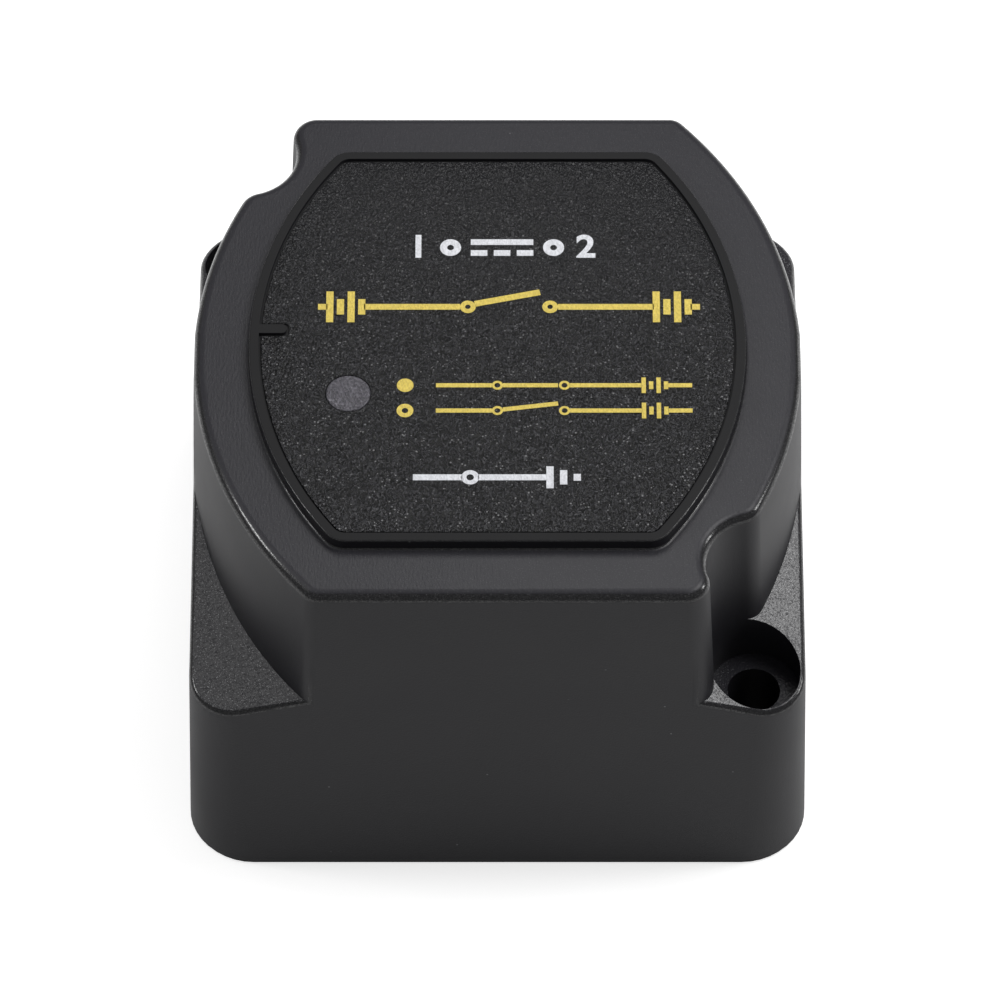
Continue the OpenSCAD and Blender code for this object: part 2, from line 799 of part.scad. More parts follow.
// A steel strap: a foot with four screw holes and two legs beside the bobbin
module coil_frame() {
    color([0.68, 0.66, 0.58])
        difference() {
            union() {
                translate([-frame_half_x, -frame_foot_half_y, frame_z])
                    cube([2 * frame_half_x, 2 * frame_foot_half_y, frame_t]);
                for (s = [-1, 1])
                    translate([s * (frame_half_x - frame_t / 2) - frame_t / 2, -frame_w / 2, frame_z])
                        cube([frame_t, frame_w, cap_z - frame_z]);
            }
            translate([0, 0, frame_z - cut])
                cylinder(r = plunger_r + touch_gap, h = frame_t + 2 * cut, $fn = round_fn);
            for (p = PILLARS)
                translate([p[0], p[1], frame_z - cut])
                    cylinder(r = pillar_screw_r + frame_screw_play, h = frame_t + 2 * cut, $fn = round_fn);
        }
}

module frame_cap() {
    color([0.68, 0.66, 0.58])
        difference() {
            translate([-frame_half_x, -frame_w / 2, cap_z]) cube([2 * frame_half_x, frame_w, frame_t]);
            translate([0, 0, cap_z - cut]) {
                cylinder(r = sleeve_r + touch_gap, h = frame_t + 2 * cut, $fn = round_fn);
                for (s = [-1, 1])
                    translate([s * coil_pin_x, -coil_pin_y, 0])
                        cylinder(r = pin_r + pin_air, h = frame_t + 2 * cut, $fn = round_fn);
            }
        }
}

module frame_screws() {
    color([0.75, 0.75, 0.76])
        for (p = PILLARS)
            translate([p[0], p[1], bobbin_z])
                rotate([180, 0, 0])
                    cross_screw(pillar_screw_r, pillar_screw_l, pillar_screw_head_r, pillar_screw_head_t);
}

module plunger() {
    color([0.55, 0.55, 0.57])
        translate([0, 0, plunger_z])
            difference() {
                cylinder(r = plunger_r, h = plunger_top_z - plunger_z, $fn = round_fn);
                translate([0, 0, -cut])
                    cylinder(r = rod_r + rod_fit, h = rod_grip + cut, $fn = round_fn);
            }
}

module push_rod() {
    color([0.78, 0.78, 0.8])
        translate([0, 0, rod_z]) cylinder(r = rod_r, h = rod_top_z - rod_z, $fn = round_fn);
}

module rod_ring(r, t) {
    difference() {
        cylinder(r = r, h = t, $fn = round_fn);
        translate([0, 0, -cut]) cylinder(r = rod_r + rod_fit, h = t + 2 * cut, $fn = round_fn);
    }
}

module spring_collar() {
    color([0.7, 0.7, 0.72]) translate([0, 0, collar_z]) rod_ring(collar_r, collar_t);
}

module retaining_clip() {
    color([0.35, 0.35, 0.37])
        translate([0, 0, clip_z])
            difference() {
                rod_ring(clip_r, clip_t);
                translate([0, -rod_r / 2, -cut]) cube([clip_r + cut, rod_r, clip_t + 2 * cut]);
            }
}

module contact_bridge() {
    c = bridge_chamfer;
    h = bridge_half;
    w = bridge_w / 2;
    color([0.75, 0.42, 0.25])
        translate([0, 0, bridge_z])
            difference() {
                linear_extrude(bridge_t)
                    polygon([[h, -w + c], [h, w - c], [h - c, w], [c - h, w], [-h, w - c], [-h, c - w],
                             [c - h, -w], [h - c, -w]]);
                translate([0, 0, -cut])
                    cylinder(r = rod_r + slide_play, h = bridge_t + 2 * cut, $fn = round_fn);
            }
}

module tip(s, z) {
    color([0.82, 0.82, 0.8])
        translate([s * stud_pitch / 2, 0, z]) cylinder(r = tip_r, h = tip_t, $fn = round_fn);
}

module moving_contact_tips() {
    for (s = [-1, 1]) tip(s, moving_tip_z);
}

module left_contact_tip() {
    tip(-1, fixed_tip_z);
}

module right_contact_tip() {
    tip(1, fixed_tip_z);
}

// One unbroken helix of wire between two levels, its end turns lying flat
module helix(coil_r, wire_r, z0, z1, turns) {
    steps = ceil(turns * turn_steps);
    rise = z1 - z0 - 2 * wire_r;
    function level(i) =
        let (u = i / steps, flat = 0.5 / turns)
        z0 + wire_r + rise * min(1, max(0, (u - flat) / (1 - 2 * flat)));
    points = [
        for (i = [0:steps], k = [0:wire_sides - 1])
            let (t = i * 360 * turns / steps, s = k * 360 / wire_sides + 30, r = coil_r + wire_r * cos(s))
            [r * cos(t), r * sin(t), level(i) + wire_r * sin(s)]
    ];
    faces = concat(
        [[for (k = [0:wire_sides - 1]) wire_sides - 1 - k]],
        [[for (k = [0:wire_sides - 1]) steps * wire_sides + k]],
        [for (i = [0:steps - 1], k = [0:wire_sides - 1])
            let (n = (k + 1) % wire_sides)
            [i * wire_sides + k, i * wire_sides + n, (i + 1) * wire_sides + n]],
        [for (i = [0:steps - 1], k = [0:wire_sides - 1])
            let (n = (k + 1) % wire_sides)
            [i * wire_sides + k, (i + 1) * wire_sides + n, (i + 1) * wire_sides + k]]
    );
    polyhedron(points = points, faces = faces, convexity = 10);
}

module contact_spring() {
    color([0.6, 0.6, 0.6])
        helix(contact_coil_r, contact_wire_r, bridge_top_z, collar_z, contact_turns);
}

module return_spring() {
    color([0.6, 0.6, 0.6])
        helix(return_coil_r, return_wire_r, floor_z, bridge_z, return_turns);
}

module plate_outline(inset) {
    corner_at = skirt_half - foot_corner_r + wall;
    difference() {
        hull()
            for (sx = [-1, 1], sy = [-1, 1])
                translate([sx * corner_at, sy * corner_at])
                    circle(r = foot_corner_r - wall - inset, $fn = hull_fn);
        for (m = MOUNTS)
            translate([m[0], m[1]]) circle(r = column_r + inset, $fn = round_fn);
    }
}

// The moulded insulator: a plate, the barrier below it and four pillars for the coil above it
module terminal_plate() {
    color([0.09, 0.09, 0.095])
        difference() {
            union() {
                translate([0, 0, plate_z]) linear_extrude(plate_t) plate_outline(plate_gap);
                translate([-barrier_t / 2, -barrier_l / 2, barrier_gap])
                    cube([barrier_t, barrier_l, plate_z + plate_t / 2 - barrier_gap]);
                for (p = PILLARS)
                    translate([p[0], p[1], floor_z - plate_t / 2])
                        cylinder(r = pillar_r, h = frame_z - floor_z + plate_t / 2, $fn = round_fn);
            }
            for (s = [-1, 1])
                translate([s * stud_pitch / 2, 0, plate_z - cut])
                    cylinder(r = stud_r + stud_play, h = plate_t + 2 * cut, $fn = round_fn);
            for (s = PLATE_SCREWS)
                translate([s[0], s[1], plate_z - cut])
                    cylinder(r = screw_r + plate_screw_play, h = plate_t + 2 * cut, $fn = round_fn);
            for (p = PILLARS)
                translate([p[0], p[1], bobbin_z - pillar_screw_l - seat_gap])
                    cylinder(r = pillar_screw_r + screw_play, h = rim_h, $fn = round_fn);
            translate([-blade_w / 2 - touch_gap, -ground_y - blade_t / 2 - touch_gap, plate_z - cut])
                cube([blade_w + 2 * touch_gap, blade_t + 2 * touch_gap, plate_t + 2 * cut]);
        }
}

module gasket() {
    color([0.16, 0.16, 0.16])
        translate([0, 0, floor_z])
            difference() {
                linear_extrude(gasket_t)
                    difference() {
                        plate_outline(plate_gap);
                        plate_outline(plate_gap + gasket_w);
                    }
                for (s = PLATE_SCREWS)
                    translate([s[0], s[1], -cut])
                        cylinder(r = screw_r + plate_screw_play, h = gasket_t + 2 * cut, $fn = round_fn);
            }
}

module plate_screws() {
    color([0.72, 0.7, 0.62])
        for (s = PLATE_SCREWS)
            translate([s[0], s[1], plate_z]) cross_screw(screw_r, screw_l, screw_head_r, screw_head_t);
}

// A stud with a square head above the plate
module stud(s) {
    color([0.8, 0.5, 0.3])
        translate([s * stud_pitch / 2, 0, 0]) {
            translate([0, 0, stud_end_h])
                cylinder(r = stud_r, h = head_z + stud_head_t / 2 - stud_end_h, $fn = round_fn);
            translate([-stud_head_w / 2, -stud_head_w / 2, head_z])
                cube([stud_head_w, stud_head_w, stud_head_t]);
        }
}

module left_stud() {
    stud(-1);
}

module right_stud() {
    stud(1);
}

// A thin brass tab under the stud's head, reaching out to the sense lead
module sense_tab(s) {
    inner = stud_r + tab_margin;
    reach = sense_x - stud_pitch / 2 + tab_end;
    tab_w = stud_d + tab_margin / 2;
    color([0.8, 0.65, 0.35])
        translate([s * stud_pitch / 2, 0, floor_z])
            difference() {
                translate([s > 0 ? -inner : -reach, -tab_w / 2, 0]) cube([inner + reach, tab_w, tab_t]);
                translate([0, 0, -cut]) cylinder(r = stud_r + stud_play, h = tab_t + 2 * cut, $fn = round_fn);
            }
}

module left_sense_tab() {
    sense_tab(-1);
}

module right_sense_tab() {
    sense_tab(1);
}

module sense_leads() {
    color([0.7, 0.1, 0.08])
        for (s = [-1, 1])
            translate([s * sense_x, 0, head_z])
                cylinder(r = lead_r, h = board_top_z + pin_stub - head_z, $fn = round_fn);
}

// A push-on blade that stands down from the plate
module ground_blade() {
    tip_cut = blade_w / 5;
    color([0.8, 0.65, 0.35])
        translate([0, -ground_y + blade_t / 2, 0])
            rotate([90, 0, 0])
                difference() {
                    linear_extrude(blade_t)
                        polygon([
                            [-blade_w / 2, floor_z + blade_head], [-blade_w / 2, plate_z - blade_l + tip_cut],
                            [-blade_w / 2 + tip_cut, plate_z - blade_l],
                            [blade_w / 2 - tip_cut, plate_z - blade_l],
                            [blade_w / 2, plate_z - blade_l + tip_cut], [blade_w / 2, floor_z + blade_head]
                        ]);
                    translate([0, plate_z - blade_l / 2, -cut])
                        cylinder(r = blade_hole_r, h = blade_t + 2 * cut, $fn = round_fn);
                }
}

module ground_lead() {
    color([0.08, 0.08, 0.08])
        translate([0, -ground_y, floor_z + blade_head])
            cylinder(r = lead_r, h = board_top_z + pin_stub - floor_z - blade_head, $fn = round_fn);
}

module stud_ring(r, t) {
    difference() {
        cylinder(r = r, h = t, $fn = round_fn);
        translate([0, 0, -cut]) cylinder(r = stud_r + stud_play, h = t + 2 * cut, $fn = round_fn);
    }
}

module flat_washers() {
    color([0.78, 0.78, 0.8])
        for (s = [-1, 1])
            translate([s * stud_pitch / 2, 0, plate_z - washer_t]) stud_ring(washer_d / 2, washer_t);
}

// A split ring, its gap turned away from the barrier
module lock_washers() {
    gap = lock_washer_t / 2;
    color([0.7, 0.7, 0.72])
        for (s = [-1, 1])
            translate([s * stud_pitch / 2, 0, lock_z])
                rotate(s > 0 ? 0 : 180)
                    difference() {
                        stud_ring(lock_washer_d / 2, lock_washer_t);
                        translate([0, -gap / 2, -cut])
                            cube([lock_washer_d, gap, lock_washer_t + 2 * cut]);
                    }
}

// A hexagon with its corners turned off on the outer face
module terminal_nuts() {
    corner = nut_w / 2 / cos(30);
    color([0.82, 0.68, 0.38])
        for (s = [-1, 1])
            translate([s * stud_pitch / 2, 0, nut_z])
                difference() {
                    intersection() {
                        cylinder(r = corner, h = nut_t, $fn = nut_fn);
                        cylinder(r1 = nut_w / 2 * 0.98, r2 = nut_w / 2 * 0.98 + nut_t * 1.8, h = nut_t,
                                 $fn = round_fn);
                    }
                    translate([0, 0, -cut])
                        cylinder(r = stud_r + stud_play, h = nut_t + 2 * cut, $fn = round_fn);
                }
}

housing();
label();
lamp_window();
circuit_board();
board_screws();
status_lamp();
microcontroller();
voltage_regulator();
driver_transistor();
flyback_diode();
surge_suppressor();
filter_capacitor();
chip_resistors();
chip_capacitors();
coil_bobbin();
coil_winding();
coil_pins();
pole_core();
guide_sleeve();
coil_frame();
frame_cap();
frame_screws();
plunger();
push_rod();
spring_collar();
retaining_clip();
contact_bridge();
moving_contact_tips();
contact_spring();
return_spring();
terminal_plate();
gasket();
plate_screws();
left_stud();
right_stud();
left_contact_tip();
right_contact_tip();
left_sense_tab();
right_sense_tab();
sense_leads();
ground_blade();
ground_lead();
flat_washers();
lock_washers();
terminal_nuts();
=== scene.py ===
"""Dresses the packed model of a battery isolator relay: housing, label, terminals and finishes."""

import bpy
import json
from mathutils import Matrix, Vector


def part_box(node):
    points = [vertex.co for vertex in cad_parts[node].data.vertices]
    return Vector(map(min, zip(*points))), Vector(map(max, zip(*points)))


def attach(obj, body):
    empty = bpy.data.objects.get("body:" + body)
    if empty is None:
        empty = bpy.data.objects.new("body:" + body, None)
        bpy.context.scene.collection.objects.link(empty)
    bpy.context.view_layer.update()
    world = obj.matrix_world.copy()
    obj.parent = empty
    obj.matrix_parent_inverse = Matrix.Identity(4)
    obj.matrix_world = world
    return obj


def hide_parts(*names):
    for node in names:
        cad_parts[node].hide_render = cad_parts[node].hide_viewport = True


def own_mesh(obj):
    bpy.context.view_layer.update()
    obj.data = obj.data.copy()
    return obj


bl_info = {
    "name": "Battery isolator relay",
    "version": (1, 0, 0),
    "blender": (4, 5, 0),
    "location": "3D View > Sidebar > Relay",
    "description": "Moulded housing, label, terminals and finishes of a battery isolator relay",
    "category": "Object",
}

import json
import math
import bmesh
import bpy
from bpy.props import FloatProperty, FloatVectorProperty, PointerProperty
from mathutils import Matrix, Vector

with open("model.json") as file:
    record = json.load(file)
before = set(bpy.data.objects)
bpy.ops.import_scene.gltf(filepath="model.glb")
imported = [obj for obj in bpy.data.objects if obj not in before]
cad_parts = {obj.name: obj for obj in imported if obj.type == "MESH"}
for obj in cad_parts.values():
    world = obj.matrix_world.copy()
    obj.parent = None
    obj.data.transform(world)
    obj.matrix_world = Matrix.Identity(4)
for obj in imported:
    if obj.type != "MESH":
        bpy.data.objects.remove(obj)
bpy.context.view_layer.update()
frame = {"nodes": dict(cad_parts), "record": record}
CASE = "relay_case"
TRAVEL = {joint["name"]: joint["range_m"][1] for joint in frame["record"]["behaviour"]["joints"]}
MM = 0.001
FULL_TURN = 2 * math.pi
QUARTER = math.pi / 2
WHITE = (1, 1, 1, 1)
# Segments along the outlines' arcs, corners and screw pockets, and round the finest turned pieces
ARC_STEPS = 40
CORNER_STEPS = 10
POCKET_STEPS = 24
FINE_STEPS = 96
# Play round the studs and the lamp window, in millimetres
PLAY = 0.05
# How far a cutting tool reaches past its work, in millimetres
OVERCUT = 1
# Heights below the foot and between the flanges and the rim, where cutting tools end, in millimetres
BELOW = -2
OVER_FLANGES = 30
# From the inner wall to the middle of the bosses for two of the plate screws, in millimetres
BOSS_INSET = 2.7


def length(name, millimetres, description):
    """A length, given here in millimetres and kept in metres."""
    return FloatProperty(
        name=name, description=description, default=millimetres * MM, precision=5, unit="LENGTH"
    )


def slant(name, degrees, description):
    """An angle, given here in degrees."""
    return FloatProperty(
        name=name, description=description, default=math.radians(degrees), subtype="ANGLE"
    )


def amount(name, value, description, unit="NONE"):
    """A plain number or a power."""
    return FloatProperty(name=name, description=description, default=value, unit=unit)


def paint(name, colour, description):
    """A colour in linear light."""
    return FloatVectorProperty(
        name=name, description=description, default=colour, size=3, min=0, max=1, subtype="COLOR"
    )


class HousingSizes(bpy.types.PropertyGroup):
    """Sizes of the moulded housing."""

    foot: length("Foot", 68, "Side of the square foot")
    rim: length("Rim height", 48.5, "Height of the hump's rim above the foot")
    wall: length("Wall", 2.4, "Thickness of the side walls")
    top_wall: length("Top wall", 2.5, "Thickness of the top wall under the rim")
    draft: slant("Wall draft", 1.5, "Draft of the four outer walls")
    foot_corner: length("Foot corner", 7, "Corner radius of the walls at the foot")
    head_corner: length("Head corner", 4.3, "Corner radius of the walls at the rim")
    fillet: length("Rim fillet", 1.2, "Fillet round the rim of the hump")
    crown: length("Crown", 32.8, "Distance from the middle to the crown of each arc at the rim")
    arc_radius: length("Arc radius", 47.7, "Radius of the two arcs in plan")
    arc_draft: slant("Arc draft", 2.5, "Draft of the arc walls")
    arc_corner: length("Arc corner", 2.1, "Radius between the arc walls and the flat walls")
    flange: length("Flange height", 26.4, "Height of the flanges at the outer corners")
    slope_x: slant("Side slope", 14.4, "Slope of the flanges towards the sides")
    slope_y: slant("Front slope", 13.4, "Slope of the flanges towards the front and rear")
    flange_edge: length("Flange edge", 0.55, "Fillet of the flanges' outer edge")
    screw_at: length("Screw place", 27.75, "Distance from the middle to the screw axes")
    screw_hole: length("Screw hole", 2.85, "Radius of the mounting holes")
    pocket: length("Pocket", 4.85, "Radius of the screw pockets at their floor")
    pocket_floor: length("Pocket floor", 24.3, "Height of the pocket floors")
    pocket_draft: slant("Pocket draft", 1.9, "Draft of the screw pockets")
    pocket_edge: length("Pocket edge", 0.14, "Bevel of the screw pockets' mouths")
    pocket_blend: length("Pocket blend", 2.6, "Radius between the pocket and the hump's walls")
    column: length("Column", 6.4, "Radius of the column round each screw hole")
    ledge: length("Ledge", 18.8, "Height of the ledge over the gasket")
    exit_width: length("Exit width", 15, "Width of the cable exits")
    exit_height: length("Exit height", 12.5, "Height of the cable exits")
    exit_corner: length("Exit corner", 3, "Corner radius of the cable exits")
    lip: length("Lip", 0.45, "Height of the lip along the foot's edge")
    panel_rise: length("Panel rise", 1.5, "Height of the raised panel above the rim")
    panel_inset: length("Panel inset", 6, "Width of the rim round the raised panel")
    panel_corner: length("Panel corner", 2.6, "Corner radius of the raised panel")
    panel_foot: length("Panel foot", 0.3, "Hollow fillet at the foot of the raised panel")
    panel_edge: length("Panel edge", 0.2, "Fillet of the raised panel's edge")


class LabelSizes(bpy.types.PropertyGroup):
    """Sizes of the overlay label, its recess and the lamp window."""

    border: length("Border", 1.05, "Width of the panel's border round the label")
    recess: length("Recess", 0.45, "Depth of the recess that holds the label")
    thickness: length("Thickness", 0.25, "Thickness of the label")
    gap: length("Gap", 0.25, "Gap between the label's edge and its recess")
    edge: length("Edge", 0.11, "Rounding of the label's cut edge")
    key_length: length("Key length", 3, "Length of the key that enters the label")
    key_width: length("Key width", 1.2, "Width of the key")
    key_place: length("Key place", 1.9, "Place of the key along Y")
    window: length("Window", 2.4, "Radius of the lamp window")
    window_x: length("Window X", -16, "Place of the lamp window along X")
    window_y: length("Window Y", -6.7, "Place of the lamp window along Y")
    ink: length("Ink", 0.02, "Thickness of the printed symbols")
    stroke: length("Stroke", 0.78, "Width of the large symbols' strokes")
    fine_stroke: length("Fine stroke", 0.55, "Width of the small symbols' strokes")


class TerminalSizes(bpy.types.PropertyGroup):
    """Sizes of the studs, nuts, washers, plate and blade on the underside."""

    pitch: length("Stud pitch", 26, "Distance between the two studs")
    stud: length("Stud", 4, "Radius of the studs' threads")
    stud_end: length("Stud end", 1.5, "Height of the studs' ends above the foot")
    head_level: length("Head level", 18.5, "Height where the studs' heads begin")
    head_width: length("Head width", 12, "Width of the studs' square heads")
    head_thickness: length("Head thickness", 2.6, "Thickness of the studs' heads")
    thread_pitch: length("Thread pitch", 1.25, "Pitch of the studs' threads")
    thread_depth: length("Thread depth", 0.62, "Depth of the studs' threads")
    nut: length("Nut", 13, "Width of the nuts across their flats")
    nut_level: length("Nut level", 4.9, "Height of the nuts' outer faces")
    nut_thickness: length("Nut thickness", 6.5, "Thickness of the nuts")
    lock: length("Lock washer", 7, "Radius of the spring washers")
    lock_level: length("Lock washer level", 11.4, "Height of the spring washers' lower faces")
    lock_thickness: length("Lock washer thickness", 2, "Thickness of the spring washers")
    washer: length("Washer", 8, "Radius of the flat washers")
    washer_thickness: length("Washer thickness", 1.6, "Thickness of the flat washers")
    plate_level: length("Plate level", 15, "Height of the terminal plate's lower face")
    plate_thickness: length("Plate thickness", 3, "Thickness of the terminal plate")
    plate_gap: length("Plate gap", 0.2, "Gap round the terminal plate")
    barrier_width: length("Barrier width", 2.4, "Thickness of the barrier between the studs")
    barrier_length: length("Barrier length", 40, "Length of the barrier")
    barrier_gap: length("Barrier gap", 3, "Height of the barrier's lower edge above the foot")
    pillar: length("Pillar", 3, "Radius of the pillars that carry the coil's frame")
    pillar_x: length("Pillar X", 14, "Place of the pillars along X")
    pillar_y: length("Pillar Y", 15, "Place of the pillars along Y")
    pillar_top: length("Pillar top", 28.9, "Height of the pillars' tops")
    screw: length("Plate screw", 1.45, "Radius of the plate screws' shanks")
    screw_length: length("Plate screw length", 10, "Length of the plate screws' shanks")
    screw_head: length("Plate screw head", 2.7, "Radius of the plate screws' heads")
    screw_rise: length("Plate screw rise", 1.9, "Height of the plate screws' heads")
    blade_width: length("Blade width", 6.3, "Width of the ground blade")
    blade_thickness: length("Blade thickness", 0.8, "Thickness of the ground blade")
    blade_low: length("Blade end", 6.5, "Height of the ground blade's end")
    blade_high: length("Blade head", 19.5, "Height of the ground blade's upper end")
    blade_hole: length("Blade hole", 0.9, "Radius of the hole in the ground blade")
    blade_y: length("Blade Y", -24, "Place of the ground blade along Y")


class SpringSizes(bpy.types.PropertyGroup):
    """Sizes of the two springs inside the solenoid."""

    return_coil: length("Return spring coil", 4.25, "Radius to the middle of the return spring's wire")
    return_wire: length("Return spring wire", 0.45, "Radius of the return spring's wire")
    return_turns: amount("Return turns", 4.5, "Turns of the return spring")
    contact_coil: length("Contact spring coil", 2.9, "Radius to the middle of the contact spring's wire")
    contact_wire: length("Contact spring wire", 0.38, "Radius of the contact spring's wire")
    contact_turns: amount("Contact turns", 3.5, "Turns of the contact spring")


class FinishColours(bpy.types.PropertyGroup):
    """Colours of the visible finishes."""

    housing: paint("Housing", (0.0128, 0.0125, 0.015), "Moulded plastic of the housing")
    label: paint("Label", (0.0078, 0.0078, 0.0088), "Pebbled overlay label")
    white_ink: paint("White ink", (0.7, 0.71, 0.75), "White print on the label")
    yellow_ink: paint("Yellow ink", (0.69, 0.535, 0.098), "Yellow print on the label")
    window: paint("Window", (0.1, 0.096, 0.111), "Lamp window")
    plate: paint("Plate", (0.03, 0.03, 0.033), "Terminal plate")
    copper: paint("Copper", (0.78, 0.42, 0.26), "Studs and other copper pieces")
    brass: paint("Brass", (0.72, 0.53, 0.25), "Nuts, blade and other brass pieces")
    zinc: paint("Zinc", (0.62, 0.62, 0.6), "Washers and screws")


class StudioSettings(bpy.types.PropertyGroup):
    """Camera, lamps and floor."""

    height: slant("Camera height", 53.6, "Height of the camera over the horizon")
    distance: length("Camera distance", 900, "Distance from the camera to the foot's middle")
    lens: amount("Lens", 287.28, "Focal length in millimetres")
    aim_x: length("Aim X", 0.276, "Shift of the camera to the right")
    aim_y: length("Aim Y", 12.695, "Shift of the camera upwards")
    key_power: amount("Key lamp", 1.3, "Power of the key lamp", "POWER")
    top_power: amount("Top lamp", 0.22, "Power of the upper left lamp", "POWER")
    side_power: amount("Side lamps", 0.9, "Power of each side lamp", "POWER")
    back_power: amount("Back lamp", 0.09, "Power of the lamp behind the relay", "POWER")
    world: amount("World", 0.3, "Strength of the world's light")


GROUPS = {
    "relay_housing": HousingSizes,
    "relay_label": LabelSizes,
    "relay_terminals": TerminalSizes,
    "relay_springs": SpringSizes,
    "relay_colours": FinishColours,
    "relay_studio": StudioSettings,
}


class Millimetres:
    """Gives the lengths of a property group in millimetres, and its other values as they are."""

    def __init__(self, group):
        self.group = group

    def __getattr__(self, name):
        value = getattr(self.group, name)
        return value / MM if self.group.bl_rna.properties[name].unit == "LENGTH" else value


class Term:
    """A shader socket that takes part in sums and adds the Math nodes for them."""

    def __init__(self, recipe, socket):
        self.recipe = recipe
        self.socket = socket

    def calc(self, operation, *values):
        """A Math node with the values, or with this term alone."""
        return self.recipe.node("Math", {"operation": operation}, dict(enumerate(values or (self,))))

    def __add__(self, other):
        return self.calc("ADD", self, other)

    def __sub__(self, other):
        return self.calc("SUBTRACT", self, other)

    def __mul__(self, other):
        return self.calc("MULTIPLY", self, other)

    def __truediv__(self, other):
        return self.calc("DIVIDE", self, other)

    def __rsub__(self, other):
        return self.calc("SUBTRACT", other, self)

    def __rtruediv__(self, other):
        return self.calc("DIVIDE", other, self)

    __radd__ = __add__
    __rmul__ = __mul__


class Nodes:
    """The node tree of a material or of the world."""

    def __init__(self, owner):
        self.owner = owner
        owner.use_nodes = True
        self.tree = owner.node_tree
        self.tree.nodes.clear()

    def node(self, kind, settings=None, inputs=None, output=0):
        """Adds a node: its type, its settings, and the values or links of its sockets."""
        made = self.tree.nodes.new("ShaderNode" + kind)
        for name, value in (settings or {}).items():
            setattr(made, name, value)
        for key, value in (inputs or {}).items():
            if isinstance(value, Term):
                self.tree.links.new(value.socket, made.inputs[key])
            else:
                made.inputs[key].default_value = value
        return Term(self, made.outputs[output])

    def end(self, kind, shader):
        """Leads a shader into the output, and returns the material or world."""
        made = self.tree.nodes.new("ShaderNodeOutput" + kind)
        self.tree.links.new(shader.socket, made.inputs["Surface"])
        return self.owner


class Recipe(Nodes):
    """The nodes of one material, with the patterns that the finishes share."""

    def __init__(self, name):
        super().__init__(bpy.data.materials.new(name))
        self.place = self.node("TexCoord", output="Object")

    def axis(self, letter):
        """The place along X, Y or Z, in metres."""
        return self.node("SeparateXYZ", inputs={0: self.place}, output=letter)

    def noise(self, size, detail=2.0, stretch=(1, 1, 1), roughness=0.5):
        """Noise from 0 to 1 whose features are about size millimetres wide."""
        place = self.place
        if stretch != (1, 1, 1):
            place = self.node("Mapping", inputs={"Vector": place, "Scale": stretch})
        inputs = {"Vector": place, "Scale": 1 / (size * MM), "Detail": detail, "Roughness": roughness}
        return self.node("TexNoise", inputs=inputs)

    def pebbles(self, size, ragged=0.35, stretch=(1, 1, 1)):
        """Rounded bumps about size millimetres apart, pushed aside to look ragged."""
        drift = {"Vector": self.place, "Scale": 0.7 / (size * MM)}
        wander = self.node("TexNoise", inputs=drift, output=1)
        push = self.node("VectorMath", {"operation": "SCALE"}, {0: wander, "Scale": ragged * size * MM})
        place = self.node("VectorMath", {"operation": "ADD"}, {0: self.place, 1: push})
        place = self.node("VectorMath", {"operation": "MULTIPLY"}, {0: place, 1: stretch})
        cell = self.node("TexVoronoi", inputs={"Vector": place, "Scale": 1 / (size * MM)})
        return 1 - cell * cell * 1.4

    def specks(self, spacing, radius):
        """Small dots strewn about spacing millimetres apart: 1 in a dot and 0 elsewhere."""
        cell = self.node("TexVoronoi", inputs={"Vector": self.place, "Scale": 1 / (spacing * MM)})
        dot = self.step(radius / spacing - cell, 0.02)
        lot = self.noise(spacing * 2.3, detail=1.0)
        return dot * self.step(lot - 0.54, 0.03)

    def step(self, value, softness):
        """Rises from 0 to 1 where value passes from minus to plus softness."""
        inputs = {"Value": value, "From Min": -softness, "From Max": softness}
        return self.node("MapRange", {"clamp": True}, inputs)

    def span(self, value, low, high):
        """Spreads a value that runs from 0 to 1 over low to high."""
        return value * (high - low) + low

    def blend(self, first, second, share):
        """The first colour where share is 0, and the second where it is 1."""
        inputs = {0: share, 6: first, 7: second}
        return self.node("Mix", {"data_type": "RGBA"}, inputs, output=2)

    def mottled(self, colour, low, high, share):
        """The colour times a factor between low and high that follows share."""
        return self.blend(shade(colour, low), shade(colour, high), share)

    def surface(self, colour, roughness, height=None, depth=0.01, **others):
        """Ends the material in a Principled shader, with a bump depth in millimetres."""
        inputs = {"Base Color": colour, "Roughness": roughness}
        names = {name: name.replace("_", " ").title().replace("Ior", "IOR") for name in others}
        inputs.update({names[name]: value for name, value in others.items()})
        if height is not None:
            inputs["Normal"] = self.node("Bump", inputs={"Height": height, "Distance": depth * MM})
        return self.end("Material", self.node("BsdfPrincipled", inputs=inputs))


def shade(colour, factor=1.0):
    """The colour times a factor, with its alpha."""
    return (*[channel * factor for channel in colour], 1.0)


